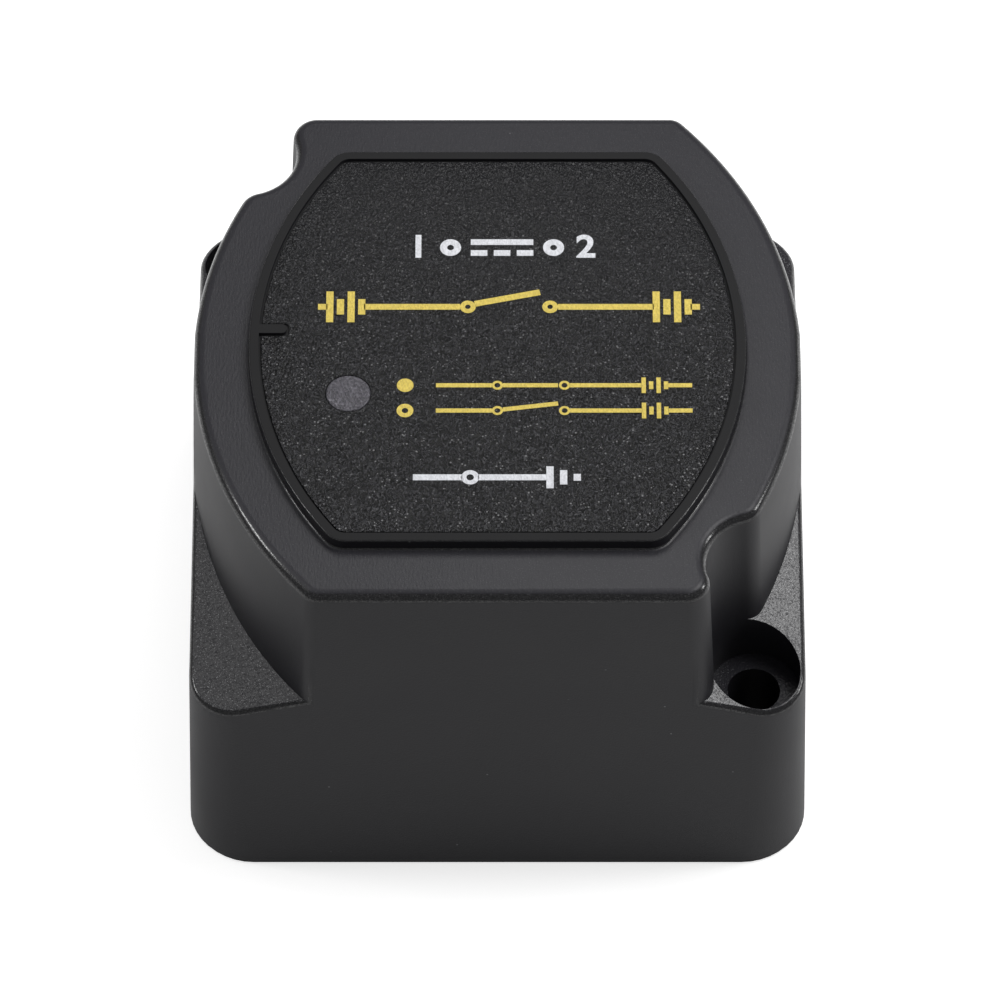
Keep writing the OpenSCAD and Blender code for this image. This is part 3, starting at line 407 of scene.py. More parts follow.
def housing_finish(colour, sizes):
    """Moulded black plastic: sparkling grain with painted glints on the flanges, fine grain on the rim,
    smooth walls; painted light on the flat tops and painted shade on the rounded edges.
    """
    mix = Recipe("housing_plastic")
    above_flanges, panel_border = 0.036, 0.0494
    scuff_and_glint, shadow = shade((0.24, 0.24, 0.25)), shade((0.006, 0.006, 0.0063))
    height = mix.axis("Z")
    # Where on the housing: the flat tops, told apart by their height, and the rounded edges
    upward = mix.node("SeparateXYZ", inputs={0: mix.node("TexCoord", output="Normal")}, output="Z")
    flat = mix.step(upward - 0.86, 0.04)
    curved = mix.step(upward - 0.22, 0.12) * (1 - flat)
    flange = flat * mix.step(above_flanges - height, 0.0006)
    border = flat * mix.step(height - panel_border, 0.0002)
    rim = flat - flange - border
    inside = screw_pockets(mix, sizes)
    # Grain, wear and the spots of painted glints
    sparkle = mix.pebbles(0.3, 0.9) * 0.6 + mix.noise(0.17, 1.0) * 0.5
    streaks = mix.noise(0.24, 2.0, (1, 0.35, 1))
    matt = mix.noise(0.2, 2.0)
    broad = mix.noise(9, 3.0)
    dust = mix.specks(3.4, 0.07)
    # Painted glints: small light spots on the flanges and, fewer, on the rounded edges and the rim
    glint_spots = mix.step(mix.noise(0.12, 0.0) - 0.72, 0.04)
    painted_glints = glint_spots * (flange + curved * 0.4 + rim * 0.1) * (1 - inside)
    grain = flange * sparkle + rim * streaks * 0.7 + (1 - flat) * matt * 0.4
    # Colour with painted light on the flat tops, dust and painted glints, and painted shade on the rounded
    # edges, then how rough and how glossy each place is
    base = mix.mottled(colour, 0.85, 1.15, broad * 0.6 + mix.noise(0.5, 2.0) * 0.4)
    # Painted light: the rim and the flanges' tops are blended towards a lighter tone
    painted_light_tops = mix.blend(base, shade(colour, 2.5), rim * 0.5 + flange * 0.3)
    # Dust marks, and the painted glints, in one light grey
    worn = mix.blend(painted_light_tops, scuff_and_glint, dust * 0.7 + painted_glints)
    # Painted shade: the rounded edges are blended towards a near-black, and the panel's border is darkened
    # with them
    shaded = mix.blend(worn, shadow, border * 0.8 + curved * 0.6)
    grit = mix.step(mix.noise(0.16, 1.0) - 0.52, 0.08)
    gloss = (flange * (grit * 0.14 + 0.1) + curved * (grit * 0.8 + 0.2)) * (1 - inside)
    sheen = flange * 0.23 + curved * 0.24 + rim * 0.07
    rough = mix.span(broad, 0.42, 0.5) - sheen + border * 0.2 + dust * 0.2
    coat = {"coat_weight": gloss, "coat_roughness": 0.15}
    return mix.surface(shaded, rough, grain, 0.04, specular_ior_level=0.26, **coat)


def screw_pockets(mix, sizes):
    """1 inside the two screw pockets and 0 elsewhere."""
    rim_of_pocket, over_flange = 0.35, 1.5
    inside = []
    for x, y in screw_places(sizes):
        middle = (-x * MM, -y * MM, 0)
        place = mix.node("VectorMath", {"operation": "ADD"}, {0: mix.place, 1: middle})
        flat = mix.node("VectorMath", {"operation": "MULTIPLY"}, {0: place, 1: (1, 1, 0)})
        reach = mix.node("VectorMath", {"operation": "LENGTH"}, {0: flat}, output="Value")
        inside.append(mix.step((sizes.pocket + rim_of_pocket) * MM - reach, 0.0003))
    low = mix.step((sizes.flange + over_flange) * MM - mix.axis("Z"), 0.003)
    return (inside[0] + inside[1]) * low


def label_grain(mix):
    """Fine leathery grain, from 0 in the valleys to 1 on the crests."""
    return mix.step(mix.noise(0.24, 1.0, (1.25, 0.8, 1)) - 0.5, 0.14)


def label_relief(mix):
    """Pebbled emboss of the label: ragged bumps with fine wrinkles between them."""
    return mix.pebbles(0.38, 0.9, (1.2, 0.8, 1)) * 0.6 + label_grain(mix) * 1.2


def label_finish(colour):
    """Overlay film with a pebbled emboss that catches small highlights, with painted shade and light on its
    grain and painted glints, more so towards the front.
    """
    mix = Recipe("label_film")
    relief = label_relief(mix)
    # Painted shade in the grain's valleys and painted light on its crests, with more contrast towards the
    # front
    front = mix.step(0.002 - mix.axis("Y"), 0.02)
    grain = (label_grain(mix) - 0.5) * (front * 1.1 + 0.4) + 0.5
    base = mix.mottled(colour, 0.05, 2.9, grain)
    # Painted glints, more of them towards the front, and dust specks, both in one light grey
    painted_glints = mix.specks(0.5, 0.1) * (front * 0.5 + 0.15)
    worn = mix.blend(base, shade((0.3, 0.3, 0.305)), mix.specks(2.6, 0.07) * 0.6 + painted_glints)
    rough = mix.span(mix.noise(0.5, 2.0), 0.2, 0.3)
    return mix.surface(worn, rough, relief, 0.1, specular_ior_level=0.33)


def ink_finish(name, colour):
    """Screen print that follows the label's emboss, with painted shade in its valleys and painted light on
    its crests.
    """
    mix = Recipe(name)
    relief = label_relief(mix)
    # Painted shade in the emboss's valleys and painted light on its crests
    base = mix.mottled(colour, 0.86, 1.06, label_grain(mix))
    return mix.surface(base, mix.span(mix.noise(0.4, 2.0), 0.45, 0.6), relief, 0.05)


def window_finish(colour):
    """Smoky clear moulding under the same emboss."""
    mix = Recipe("lamp_window_plastic")
    relief = label_relief(mix)
    # Painted shade in the emboss's valleys and painted light on its crests
    base = mix.mottled(colour, 0.6, 1.4, label_grain(mix))
    rough = mix.span(mix.noise(0.4, 2.0), 0.24, 0.34)
    return mix.surface(base, rough, relief, 0.12, specular_ior_level=0.45)


def plastic_finish(name, colour, roughness=0.45, grain=0.3, depth=0.012, **others):
    """Moulded plastic, nylon or rubber with a fine grain and slightly uneven colour."""
    mix = Recipe(name)
    broad = mix.noise(6, 3.0)
    base = mix.mottled(colour, 0.85, 1.15, broad)
    worn = mix.blend(base, shade((0.2, 0.2, 0.2)), mix.specks(3.4, 0.06) * 0.25)
    rough = mix.span(mix.noise(grain * 4, 2.0), roughness - 0.06, roughness + 0.08)
    return mix.surface(worn, rough, mix.noise(grain, 2.0), depth, **others)


def metal_finish(name, colour, roughness=0.3, stretch=(1, 1, 0.12), depth=0.006, tarnish=0.75):
    """Metal with drawn or turned lines, and tarnish that is darker and duller."""
    mix = Recipe(name)
    stain = mix.step(mix.noise(3.2, 4.0) - 0.53, 0.12)
    lines = mix.noise(0.35, 3.0, stretch)
    base = mix.mottled(colour, 1.0, tarnish, stain * 0.8 + lines * 0.2)
    rough = mix.span(stain, roughness, roughness + 0.16) + lines * 0.08
    return mix.surface(base, rough, lines, depth, metallic=1.0)


def wire_finish(name, colour, turn=0.35):
    """Enamelled wire wound in close turns up the bobbin."""
    mix = Recipe(name)
    lay = mix.axis("Z") / (turn * MM) + mix.noise(2.5, 1.0) * 0.35
    round_wire = (lay * FULL_TURN).calc("SINE") * 0.5 + 0.5
    # Painted shade: each turn darker towards the grooves between the turns and lighter on its crown
    base = mix.mottled(colour, 0.55, 1.1, round_wire * 0.8 + mix.noise(1.4, 2.0) * 0.2)
    rough = mix.span(mix.noise(0.8, 2.0), 0.22, 0.36)
    return mix.surface(base, rough, round_wire, turn * 0.4, metallic=0.85, coat_weight=0.5)


def board_finish(colour):
    """Solder-masked board with the raised traces that run under the mask."""
    mix = Recipe("board_laminate")
    traces = mix.node(
        "TexBrick", {"offset": 0.35, "squash": 2.0},
        {"Vector": mix.place, "Scale": 260, "Mortar Size": 0.035, "Mortar Smooth": 0.3}, output="Fac",
    )
    weave = mix.noise(0.5, 2.0)
    base = mix.mottled(colour, 0.8, 1.5, traces * 0.7 + weave * 0.3)
    return mix.surface(base, mix.span(weave, 0.3, 0.42), traces, 0.03, coat_weight=0.3)


def arc(centre, radius, start, end, steps):
    """Points along an arc, from its start to its end."""
    turn = (end - start) / steps
    return [
        (centre[0] + radius * math.cos(start + turn * i), centre[1] + radius * math.sin(start + turn * i))
        for i in range(steps + 1)
    ]


def rounded_square(half, radius):
    """A square outline with round corners."""
    at = half - radius
    corners = [(at, at, 0), (-at, at, QUARTER), (-at, -at, 2 * QUARTER), (at, -at, 3 * QUARTER)]
    return [
        point for x, y, start in corners
        for point in arc((x, y), radius, start, start + QUARTER, CORNER_STEPS)
    ]


def plain_quadrant(crown, radius, depth, corner):
    """One quarter of a barrel outline: from the crown along the arc and the corner to the flat."""
    middle = crown - radius
    across = depth - corner
    along = middle + math.sqrt((radius - corner) ** 2 - across ** 2)
    turn = math.atan2(across, along - middle)
    return (
        arc((middle, 0), radius, 0, turn, ARC_STEPS)[:-1]
        + arc((along, across), corner, turn, QUARTER, CORNER_STEPS)
        + [(along / 2, depth), (0, depth)]
    )


def pocket_quadrant(crown, radius, depth, at, pocket, blend):
    """The same quarter with a screw pocket: blends lead into and out of the pocket's circle."""
    middle = crown - radius
    reach = radius - blend
    gap = math.hypot(at - middle, at)
    span = (gap * gap + reach * reach - (pocket + blend) ** 2) / (2 * gap)
    side = math.sqrt(reach * reach - span * span)
    toward = ((at - middle) / gap, at / gap)
    first = (middle + toward[0] * span + toward[1] * side, toward[1] * span - toward[0] * side)
    low = depth - blend
    second = (at - math.sqrt((pocket + blend) ** 2 - (low - at) ** 2), low)
    leave = math.atan2(first[1], first[0] - middle)
    enter = math.atan2(at - first[1], at - first[0])
    out = math.atan2(second[1] - at, second[0] - at)
    back = math.atan2(at - second[1], at - second[0])
    return (
        arc((middle, 0), radius, 0, leave, ARC_STEPS)[:-1]
        + arc(first, blend, leave, enter, CORNER_STEPS)[:-1]
        + arc((at, at), pocket, enter + math.pi, out, POCKET_STEPS)[:-1]
        + arc(second, blend, back, QUARTER, CORNER_STEPS)
        + [(second[0] / 2, depth), (0, depth)]
    )


def whole_outline(plain, notched):
    """Joins four quarters into one closed outline, the notched ones on one diagonal."""
    return (
        plain[:-1]
        + [(-x, y) for x, y in reversed(notched[1:])]
        + [(-x, -y) for x, y in plain[:-1]]
        + [(x, -y) for x, y in reversed(notched[1:])]
    )


def skin(rings):
    """A closed solid through rings of points, all with the same number of points."""
    bm = bmesh.new()
    before = []
    for points in rings:
        verts = [bm.verts.new(point) for point in points]
        ring = [bm.edges.new(pair) for pair in zip(verts, verts[1:] + verts[:1])]
        if before:
            bmesh.ops.bridge_loops(bm, edges=before + ring)
        before = ring
    bmesh.ops.holes_fill(bm, edges=bm.edges[:], sides=0)
    bmesh.ops.recalc_face_normals(bm, faces=bm.faces[:])
    return bm


def loft(levels):
    """A closed solid through outlines at rising heights."""
    return skin([[(x, y, z) for x, y in points] for z, points in levels])


def turned(profile, steps=64, centre=(0, 0), closed=False):
    """A solid turned about an upright axis from points of radius and height."""
    bm = bmesh.new()
    verts = [bm.verts.new((r, 0, z)) for r, z in profile]
    edges = [bm.edges.new(pair) for pair in zip(verts, verts[1:])]
    if closed:
        edges.append(bm.edges.new((verts[-1], verts[0])))
    bmesh.ops.spin(
        bm, geom=verts + edges, cent=(0, 0, 0), axis=(0, 0, 1), angle=FULL_TURN, steps=steps, use_merge=True
    )
    bmesh.ops.remove_doubles(bm, verts=bm.verts[:], dist=1e-4)
    bmesh.ops.recalc_face_normals(bm, faces=bm.faces[:])
    bmesh.ops.translate(bm, verts=bm.verts[:], vec=(*centre, 0))
    return bm


def post(radius, low, high, centre=(0, 0), top_radius=None, steps=64):
    """An upright cylinder or cone."""
    top = radius if top_radius is None else top_radius
    return turned([(0, low), (radius, low), (top, high), (0, high)], steps, centre)


def slab(width, depth, low, high, centre=(0, 0)):
    """An upright block."""
    bm = bmesh.new()
    size = Matrix.Diagonal((width, depth, high - low, 1))
    bmesh.ops.create_cube(bm, size=1, matrix=Matrix.Translation((*centre, (low + high) / 2)) @ size)
    return bm


def scratch(bm, name):
    """Puts a bmesh into a new object of the scene and frees it."""
    mesh = bpy.data.meshes.new(name)
    bm.to_mesh(mesh)
    bm.free()
    made = bpy.data.objects.new(name, mesh)
    bpy.context.scene.collection.objects.link(made)
    return made


def combine(first, second, operation):
    """Joins, trims or cuts one solid with another and returns the result."""
    body = scratch(first, "body")
    tool = scratch(second, "tool")
    modifier = body.modifiers.new("combine", "BOOLEAN")
    modifier.operation = operation
    modifier.solver = "EXACT"
    modifier.object = tool
    evaluated = body.evaluated_get(bpy.context.evaluated_depsgraph_get())
    result = bmesh.new()
    result.from_mesh(evaluated.to_mesh())
    evaluated.to_mesh_clear()
    for made in (body, tool):
        bpy.data.meshes.remove(made.data)
    return result


def cut(solid, *tools):
    """Cuts the tools out of the solid, one after another."""
    for tool in tools:
        solid = combine(solid, tool, "DIFFERENCE")
    return solid


def join(solid, *others):
    """Joins touching solids into one."""
    for other in others:
        solid = combine(solid, other, "UNION")
    return solid


def gathered(*parts):
    """Puts solids that don't touch into one mesh."""
    whole = bmesh.new()
    for part in parts:
        mesh = bpy.data.meshes.new("part")
        part.to_mesh(mesh)
        part.free()
        whole.from_mesh(mesh)
        bpy.data.meshes.remove(mesh)
    return whole


def bevel(bm, edges, offset, segments=3):
    """Rounds the edges."""
    bmesh.ops.bevel(
        bm, geom=edges, offset=offset, offset_type="OFFSET", segments=segments, profile=0.5,
        affect="EDGES", material=-1, clamp_overlap=True,
    )


def sharp_edges(bm):
    """The edges whose faces meet at more than 60 degrees."""
    limit = math.radians(60)
    return [e for e in bm.edges if e.is_manifold and e.calc_face_angle() > limit]


def finished(name, bm, material, nodes=(), body=CASE, smooth=35):
    """Turns a mesh in millimetres into a piece that rides on its body and stands for its nodes."""
    bmesh.ops.remove_doubles(bm, verts=bm.verts[:], dist=2e-5)
    bmesh.ops.recalc_face_normals(bm, faces=bm.faces[:])
    bmesh.ops.scale(bm, vec=(MM, MM, MM), verts=bm.verts[:])
    piece = scratch(bm, name)
    piece.data.materials.append(material)
    piece.data.shade_smooth()
    piece.data.set_sharp_from_angle(angle=math.radians(smooth))
    weighted = piece.modifiers.new("weighted normals", "WEIGHTED_NORMAL")
    weighted.keep_sharp = True
    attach(piece, body)
    if nodes:
        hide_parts(*nodes)
    return piece


def wall_half(sizes, z):
    """Distance from the middle to the drafted walls at the height z."""
    return sizes.foot / 2 - z * math.tan(sizes.draft)


def wall_corner(sizes, z):
    """Corner radius of the walls at the height z."""
    share = min(max(z / (sizes.rim - sizes.fillet), 0), 1)
    return sizes.foot_corner + (sizes.head_corner - sizes.foot_corner) * share


def fillet_levels(sizes):
    """Heights and insets up the rim's fillet."""
    low, steps = sizes.rim - sizes.fillet, 8
    angles = [QUARTER * i / steps for i in range(steps + 1)]
    return [(low + sizes.fillet * math.sin(a), sizes.fillet * (1 - math.cos(a))) for a in angles]


def pocket_radius(sizes, z):
    """Radius of the drafted screw pockets at the height z."""
    return sizes.pocket + (z - sizes.pocket_floor) * math.tan(sizes.pocket_draft)


def hump_outline(sizes, z, inset, proud):
    """The hump's outline at the height z, with its walls a little proud of the block's."""
    grow = (sizes.rim - z) * math.tan(sizes.arc_draft) - inset
    crown = sizes.crown + grow
    radius = sizes.arc_radius + grow
    depth = wall_half(sizes, z) - inset + proud
    hole = pocket_radius(sizes, z) + inset + proud / 2
    plain = plain_quadrant(crown, radius, depth, sizes.arc_corner - inset)
    notched = pocket_quadrant(crown, radius, depth, sizes.screw_at, hole, sizes.pocket_blend - inset)
    return whole_outline(plain, notched)


def hump_solid(sizes):
    """The hump over the flanges, whose flat walls the block trims."""
    proud = 0.01
    levels = [(z, hump_outline(sizes, z, 0, proud)) for z in (20, 28, 38)]
    levels += [(z, hump_outline(sizes, z, inset, proud)) for z, inset in fillet_levels(sizes)]
    return loft(levels)


def base_solid(sizes):
    """The lower block with its four flanges and the fillet of their outer edge.

    It stands a little proud of the walls and reaches past the foot, and block_solid trims it.
    """
    proud = 0.005
    bm = loft([
        (z, rounded_square(wall_half(sizes, z) + proud, wall_corner(sizes, z))) for z in (-1, 20, 44)
    ])
    corner_at = wall_half(sizes, sizes.flange)
    for sx in (-1, 1):
        for sy in (-1, 1):
            normal = Vector((sx * math.tan(sizes.slope_x), sy * math.tan(sizes.slope_y), 1)).normalized()
            point = (sx * corner_at, sy * corner_at, sizes.flange)
            made = bmesh.ops.bisect_plane(
                bm, geom=bm.verts[:] + bm.edges[:] + bm.faces[:], dist=1e-6, plane_co=point,
                plane_no=normal, clear_outer=True,
            )
            loop = [e for e in made["geom_cut"] if isinstance(e, bmesh.types.BMEdge)]
            bmesh.ops.holes_fill(bm, edges=loop, sides=0)
    bmesh.ops.recalc_face_normals(bm, faces=bm.faces[:])
    bevel(bm, top_edges(bm), sizes.flange_edge, 4)
    # The two screw pockets, with their mouths bevelled
    tall = sizes.pocket_floor + 20
    pockets = gathered(*[
        post(sizes.pocket, sizes.pocket_floor, tall, at, pocket_radius(sizes, tall), FINE_STEPS)
        for at in screw_places(sizes)
    ])
    bm = cut(bm, pockets)
    reach = sizes.pocket + 0.6
    mouths = [
        e for e in top_edges(bm)
        if e.verts[0].co.z > sizes.flange - 1 and any(near(e, at, reach) for at in screw_places(sizes))
    ]
    bevel(bm, mouths, sizes.pocket_edge, 2)
    return bm


def top_edges(bm):
    """The edges between a face that looks up and a steep one."""
    bm.normal_update()
    found = []
    for edge in bm.edges:
        rises = [face.normal.z for face in edge.link_faces]
        if edge.is_manifold and max(rises) > 0.8 and min(rises) < 0.3:
            found.append(edge)
    return found


def near(edge, at, reach):
    """Whether both ends of an edge are within reach of an upright axis."""
    return all(math.hypot(v.co.x - at[0], v.co.y - at[1]) < reach for v in edge.verts)


def screw_places(sizes):
    """The two mounting screws, on one diagonal."""
    return [(sizes.screw_at, -sizes.screw_at), (-sizes.screw_at, sizes.screw_at)]


def block_solid(sizes):
    """The four drafted walls with the lip along the foot and the fillet of the rim."""
    set_back = 0.16
    rows = [(0, set_back), (sizes.lip - 0.1, set_back), (sizes.lip, 0), (sizes.lip + 6, 0), (26, 0)]
    rows += fillet_levels(sizes)
    return loft([
        (z, rounded_square(wall_half(sizes, z) - inset, wall_corner(sizes, z))) for z, inset in rows
    ])


def barrel_outline(crown, radius, depth, corner):
    """A barrel outline without screw pockets."""
    plain = plain_quadrant(crown, radius, depth, corner)
    return whole_outline(plain, plain)


def panel_outline(sizes, inset):
    """The raised panel's outline, by its distance from the rim's edge."""
    depth = wall_half(sizes, sizes.rim) - inset - sizes.fillet / 4
    corner = sizes.panel_corner - (inset - sizes.panel_inset)
    return barrel_outline(sizes.crown - inset, sizes.arc_radius - inset, depth, corner)


def panel_solid(sizes):
    """The raised panel with the fillet of its edge."""
    top = sizes.rim + sizes.panel_rise
    low = top - sizes.panel_edge
    foot = sizes.panel_foot
    clear_of_rim = 0.001
    angles = [QUARTER * i / 4 for i in range(5)]
    levels = [(sizes.rim - sizes.top_wall / 2, panel_outline(sizes, sizes.panel_inset - foot))]
    for angle in angles:
        inset = sizes.panel_inset - foot * (1 - math.sin(angle))
        z = sizes.rim + foot * (1 - math.cos(angle)) + clear_of_rim
        levels.append((z, panel_outline(sizes, inset)))
    for angle in angles:
        inset = sizes.panel_inset + sizes.panel_edge * (1 - math.cos(angle))
        levels.append((low + sizes.panel_edge * math.sin(angle), panel_outline(sizes, inset)))
    return loft(levels)


def recess_solid(sizes, label, gap, low, high):
    """The space of the label's recess, or of the label itself with its gap, notched by the key."""
    outline = panel_outline(sizes, sizes.panel_inset + label.border + gap)
    solid = loft([(low, outline), (high, outline)])
    left = sizes.crown - sizes.panel_inset - label.border
    reach = label.key_length + gap + OVERCUT
    middle = -left - OVERCUT + reach / 2
    width = label.key_width + 2 * gap
    key = slab(reach, width, low - OVERCUT, high + OVERCUT, (middle, label.key_place))
    uprights = [e for e in key.edges if abs((e.verts[0].co - e.verts[1].co).z) > 1]
    bevel(key, uprights, min(width / 2.4, 0.5), 4)
    return cut(solid, key)


def skirt_solid(sizes):
    """The open space under the plate, with the two screw columns standing in it."""
    half = wall_half(sizes, sizes.ledge) - sizes.wall
    outline = rounded_square(half, sizes.foot_corner - sizes.wall)
    space = loft([(BELOW, outline), (sizes.ledge, outline)])
    columns = [post(sizes.column, BELOW - OVERCUT, OVER_FLANGES, at) for at in screw_places(sizes)]
    return cut(space, gathered(*columns))


def upper_solid(sizes):
    """The space under the hump."""
    half = wall_half(sizes, sizes.rim) - sizes.wall
    corner, seat = 1.8, 0.44
    limit = wall_half(sizes, sizes.ledge) - sizes.wall - seat
    ceiling = sizes.rim - sizes.top_wall
    levels = []
    for z in (sizes.ledge - 1, ceiling):
        grow = (ceiling - z) * math.tan(sizes.arc_draft) - sizes.wall
        outline = barrel_outline(sizes.crown + grow, sizes.arc_radius + grow, half, corner)
        levels.append((z, [(max(-limit, min(limit, x)), y) for x, y in outline]))
    column = pocket_radius(sizes, sizes.rim) + sizes.wall
    columns = [post(column, 10, 60, at) for at in screw_places(sizes)]
    boss, boss_height, boss_x = 3.4, 9.5, 13
    bosses = [
        post(boss, sizes.ledge, sizes.ledge + boss_height, (-s * boss_x, s * (half - BOSS_INSET)))
        for s in (-1, 1)
    ]
    return cut(loft(levels), gathered(*columns), gathered(*bosses))


def exit_solid(sizes):
    """One long bar whose section is the outline of the two cable exits."""
    half, corner, steps = sizes.exit_width / 2, sizes.exit_corner, 8
    at = sizes.exit_height - corner
    outline = (
        [(half, BELOW)]
        + arc((half - corner, at), corner, 0, QUARTER, steps)
        + arc((corner - half, at), corner, QUARTER, 2 * QUARTER, steps)
        + [(-half, BELOW)]
    )
    bm = loft([(-sizes.foot, outline), (sizes.foot, outline)])
    turn = Matrix(((0, 0, 1), (1, 0, 0), (0, 1, 0)))
    bmesh.ops.transform(bm, matrix=turn.to_4x4(), verts=bm.verts[:])
    return bm


class RELAY_OT_housing(bpy.types.Operator):
    """Makes the moulded housing"""

    bl_idname = "relay.housing"
    bl_label = "Housing"

    def execute(self, context):
        sizes = Millimetres(context.scene.relay_housing)
        label = Millimetres(context.scene.relay_label)
        whole = combine(join(base_solid(sizes), hump_solid(sizes)), block_solid(sizes), "INTERSECT")
        whole = join(whole, panel_solid(sizes))
        top = sizes.rim + sizes.panel_rise
        places = screw_places(sizes)
        holes = gathered(*[
            post(sizes.screw_hole, BELOW, OVER_FLANGES, at, steps=FINE_STEPS) for at in places
        ])
        under_top_wall = 40
        window = post(label.window + PLAY, under_top_wall, top + 2, (label.window_x, label.window_y))
        recess = recess_solid(sizes, label, 0, top - label.recess, top + OVERCUT)
        inside = (skirt_solid(sizes), upper_solid(sizes), exit_solid(sizes))
        whole = cut(whole, recess, *inside, holes, window)
        look = housing_finish(context.scene.relay_colours.housing, sizes)
        finished("moulded_housing", whole, look, ["housing"], smooth=32)
        return {"FINISHED"}


class RELAY_OT_label(bpy.types.Operator):
    """Makes the pebbled overlay label"""

    bl_idname = "relay.label"
    bl_label = "Label"

    def execute(self, context):
        sizes = Millimetres(context.scene.relay_housing)
        label = Millimetres(context.scene.relay_label)
        low = sizes.rim + sizes.panel_rise - label.recess
        high = low + label.thickness
        film = recess_solid(sizes, label, label.gap, low, high)
        at = (label.window_x, label.window_y)
        film = cut(film, post(label.window + PLAY, low - OVERCUT, high + OVERCUT, at))
        rims = [e for e in sharp_edges(film) if min(v.co.z for v in e.verts) > high - 0.01]
        bevel(film, rims, label.edge, 2)
        finished("overlay_label", film, label_finish(context.scene.relay_colours.label), ["label"])
        return {"FINISHED"}


class RELAY_OT_lamp_window(bpy.types.Operator):
    """Makes the lamp window, a light pipe with a domed edge"""

    bl_idname = "relay.lamp_window"
    bl_label = "Lamp window"

    def execute(self, context):
        sizes = Millimetres(context.scene.relay_housing)
        label = Millimetres(context.scene.relay_label)
        low, high = [corner.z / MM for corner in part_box("lamp_window")]
        wide = (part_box("lamp_window")[1].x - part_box("lamp_window")[0].x) / 2 / MM
        ceiling = sizes.rim - sizes.top_wall
        radius = label.window
        profile = [
            (0, low), (wide, low), (wide, ceiling), (radius, ceiling), (radius, high - 0.15),
            (radius - 0.05, high - 0.05), (radius - 0.18, high), (radius * 0.6, high), (0, high),
        ]
        pipe = turned(profile, FINE_STEPS, (label.window_x, label.window_y))
        look = window_finish(context.scene.relay_colours.window)
        finished("light_pipe", pipe, look, ["lamp_window"])
        return {"FINISHED"}


class Printer:
    """Draws flat symbols as thin solids on the label."""

    def __init__(self, level, thickness):
        self.low = level
        self.high = level + thickness
        self.parts = []

    def line(self, start, end, width):
        """A straight stroke from one point to another."""
        start, end = Vector(start), Vector(end)
        along = end - start
        bar = slab(along.length, width, self.low, self.high)
        place = Matrix.Translation((*((start + end) / 2), 0))
        turn = Matrix.Rotation(math.atan2(along.y, along.x), 4, "Z")
        bmesh.ops.transform(bar, matrix=place @ turn, verts=bar.verts[:])
        self.parts.append(bar)

    def dot(self, centre, radius):
        """A filled disc."""
        self.parts.append(post(radius, self.low, self.high, centre, steps=32))

    def ring(self, centre, radius, width):
        """A ring, by its outer radius and the width of its stroke."""
        inner = radius - width
        profile = [(inner, self.low), (radius, self.low), (radius, self.high), (inner, self.high)]
        self.parts.append(turned(profile, 32, centre, closed=True))

    def battery(self, x, y, tall, pitch, width):
        """Two cells: a long and a short plate each."""
        for i in range(2):
            left = x + (2 * i - 1.5) * pitch
            self.line((left, y - tall / 2), (left, y + tall / 2), width)
            self.line((left + pitch, y - tall / 4), (left + pitch, y + tall / 4), width)

    def numeral(self, text, centre, size):
        """A plain number from Blender's own font."""
        curve = bpy.data.curves.new("numeral", "FONT")
        curve.body = text
        curve.size = size
        curve.align_x = curve.align_y = "CENTER"
        curve.extrude = (self.high - self.low) / 2
        curve.offset = 0.11
        made = bpy.data.objects.new("numeral", curve)
        bpy.context.scene.collection.objects.link(made)
        mesh = bpy.data.meshes.new_from_object(made.evaluated_get(bpy.context.evaluated_depsgraph_get()))
        bm = bmesh.new()
        bm.from_mesh(mesh)
        bmesh.ops.remove_doubles(bm, verts=bm.verts[:], dist=1e-4)
        bmesh.ops.translate(bm, verts=bm.verts[:], vec=(*centre, (self.low + self.high) / 2))
        self.parts.append(bm)
        bpy.data.objects.remove(made)
        bpy.data.curves.remove(curve)
        bpy.data.meshes.remove(mesh)

    def printed(self):
        """All strokes as one mesh."""
        return gathered(*self.parts)


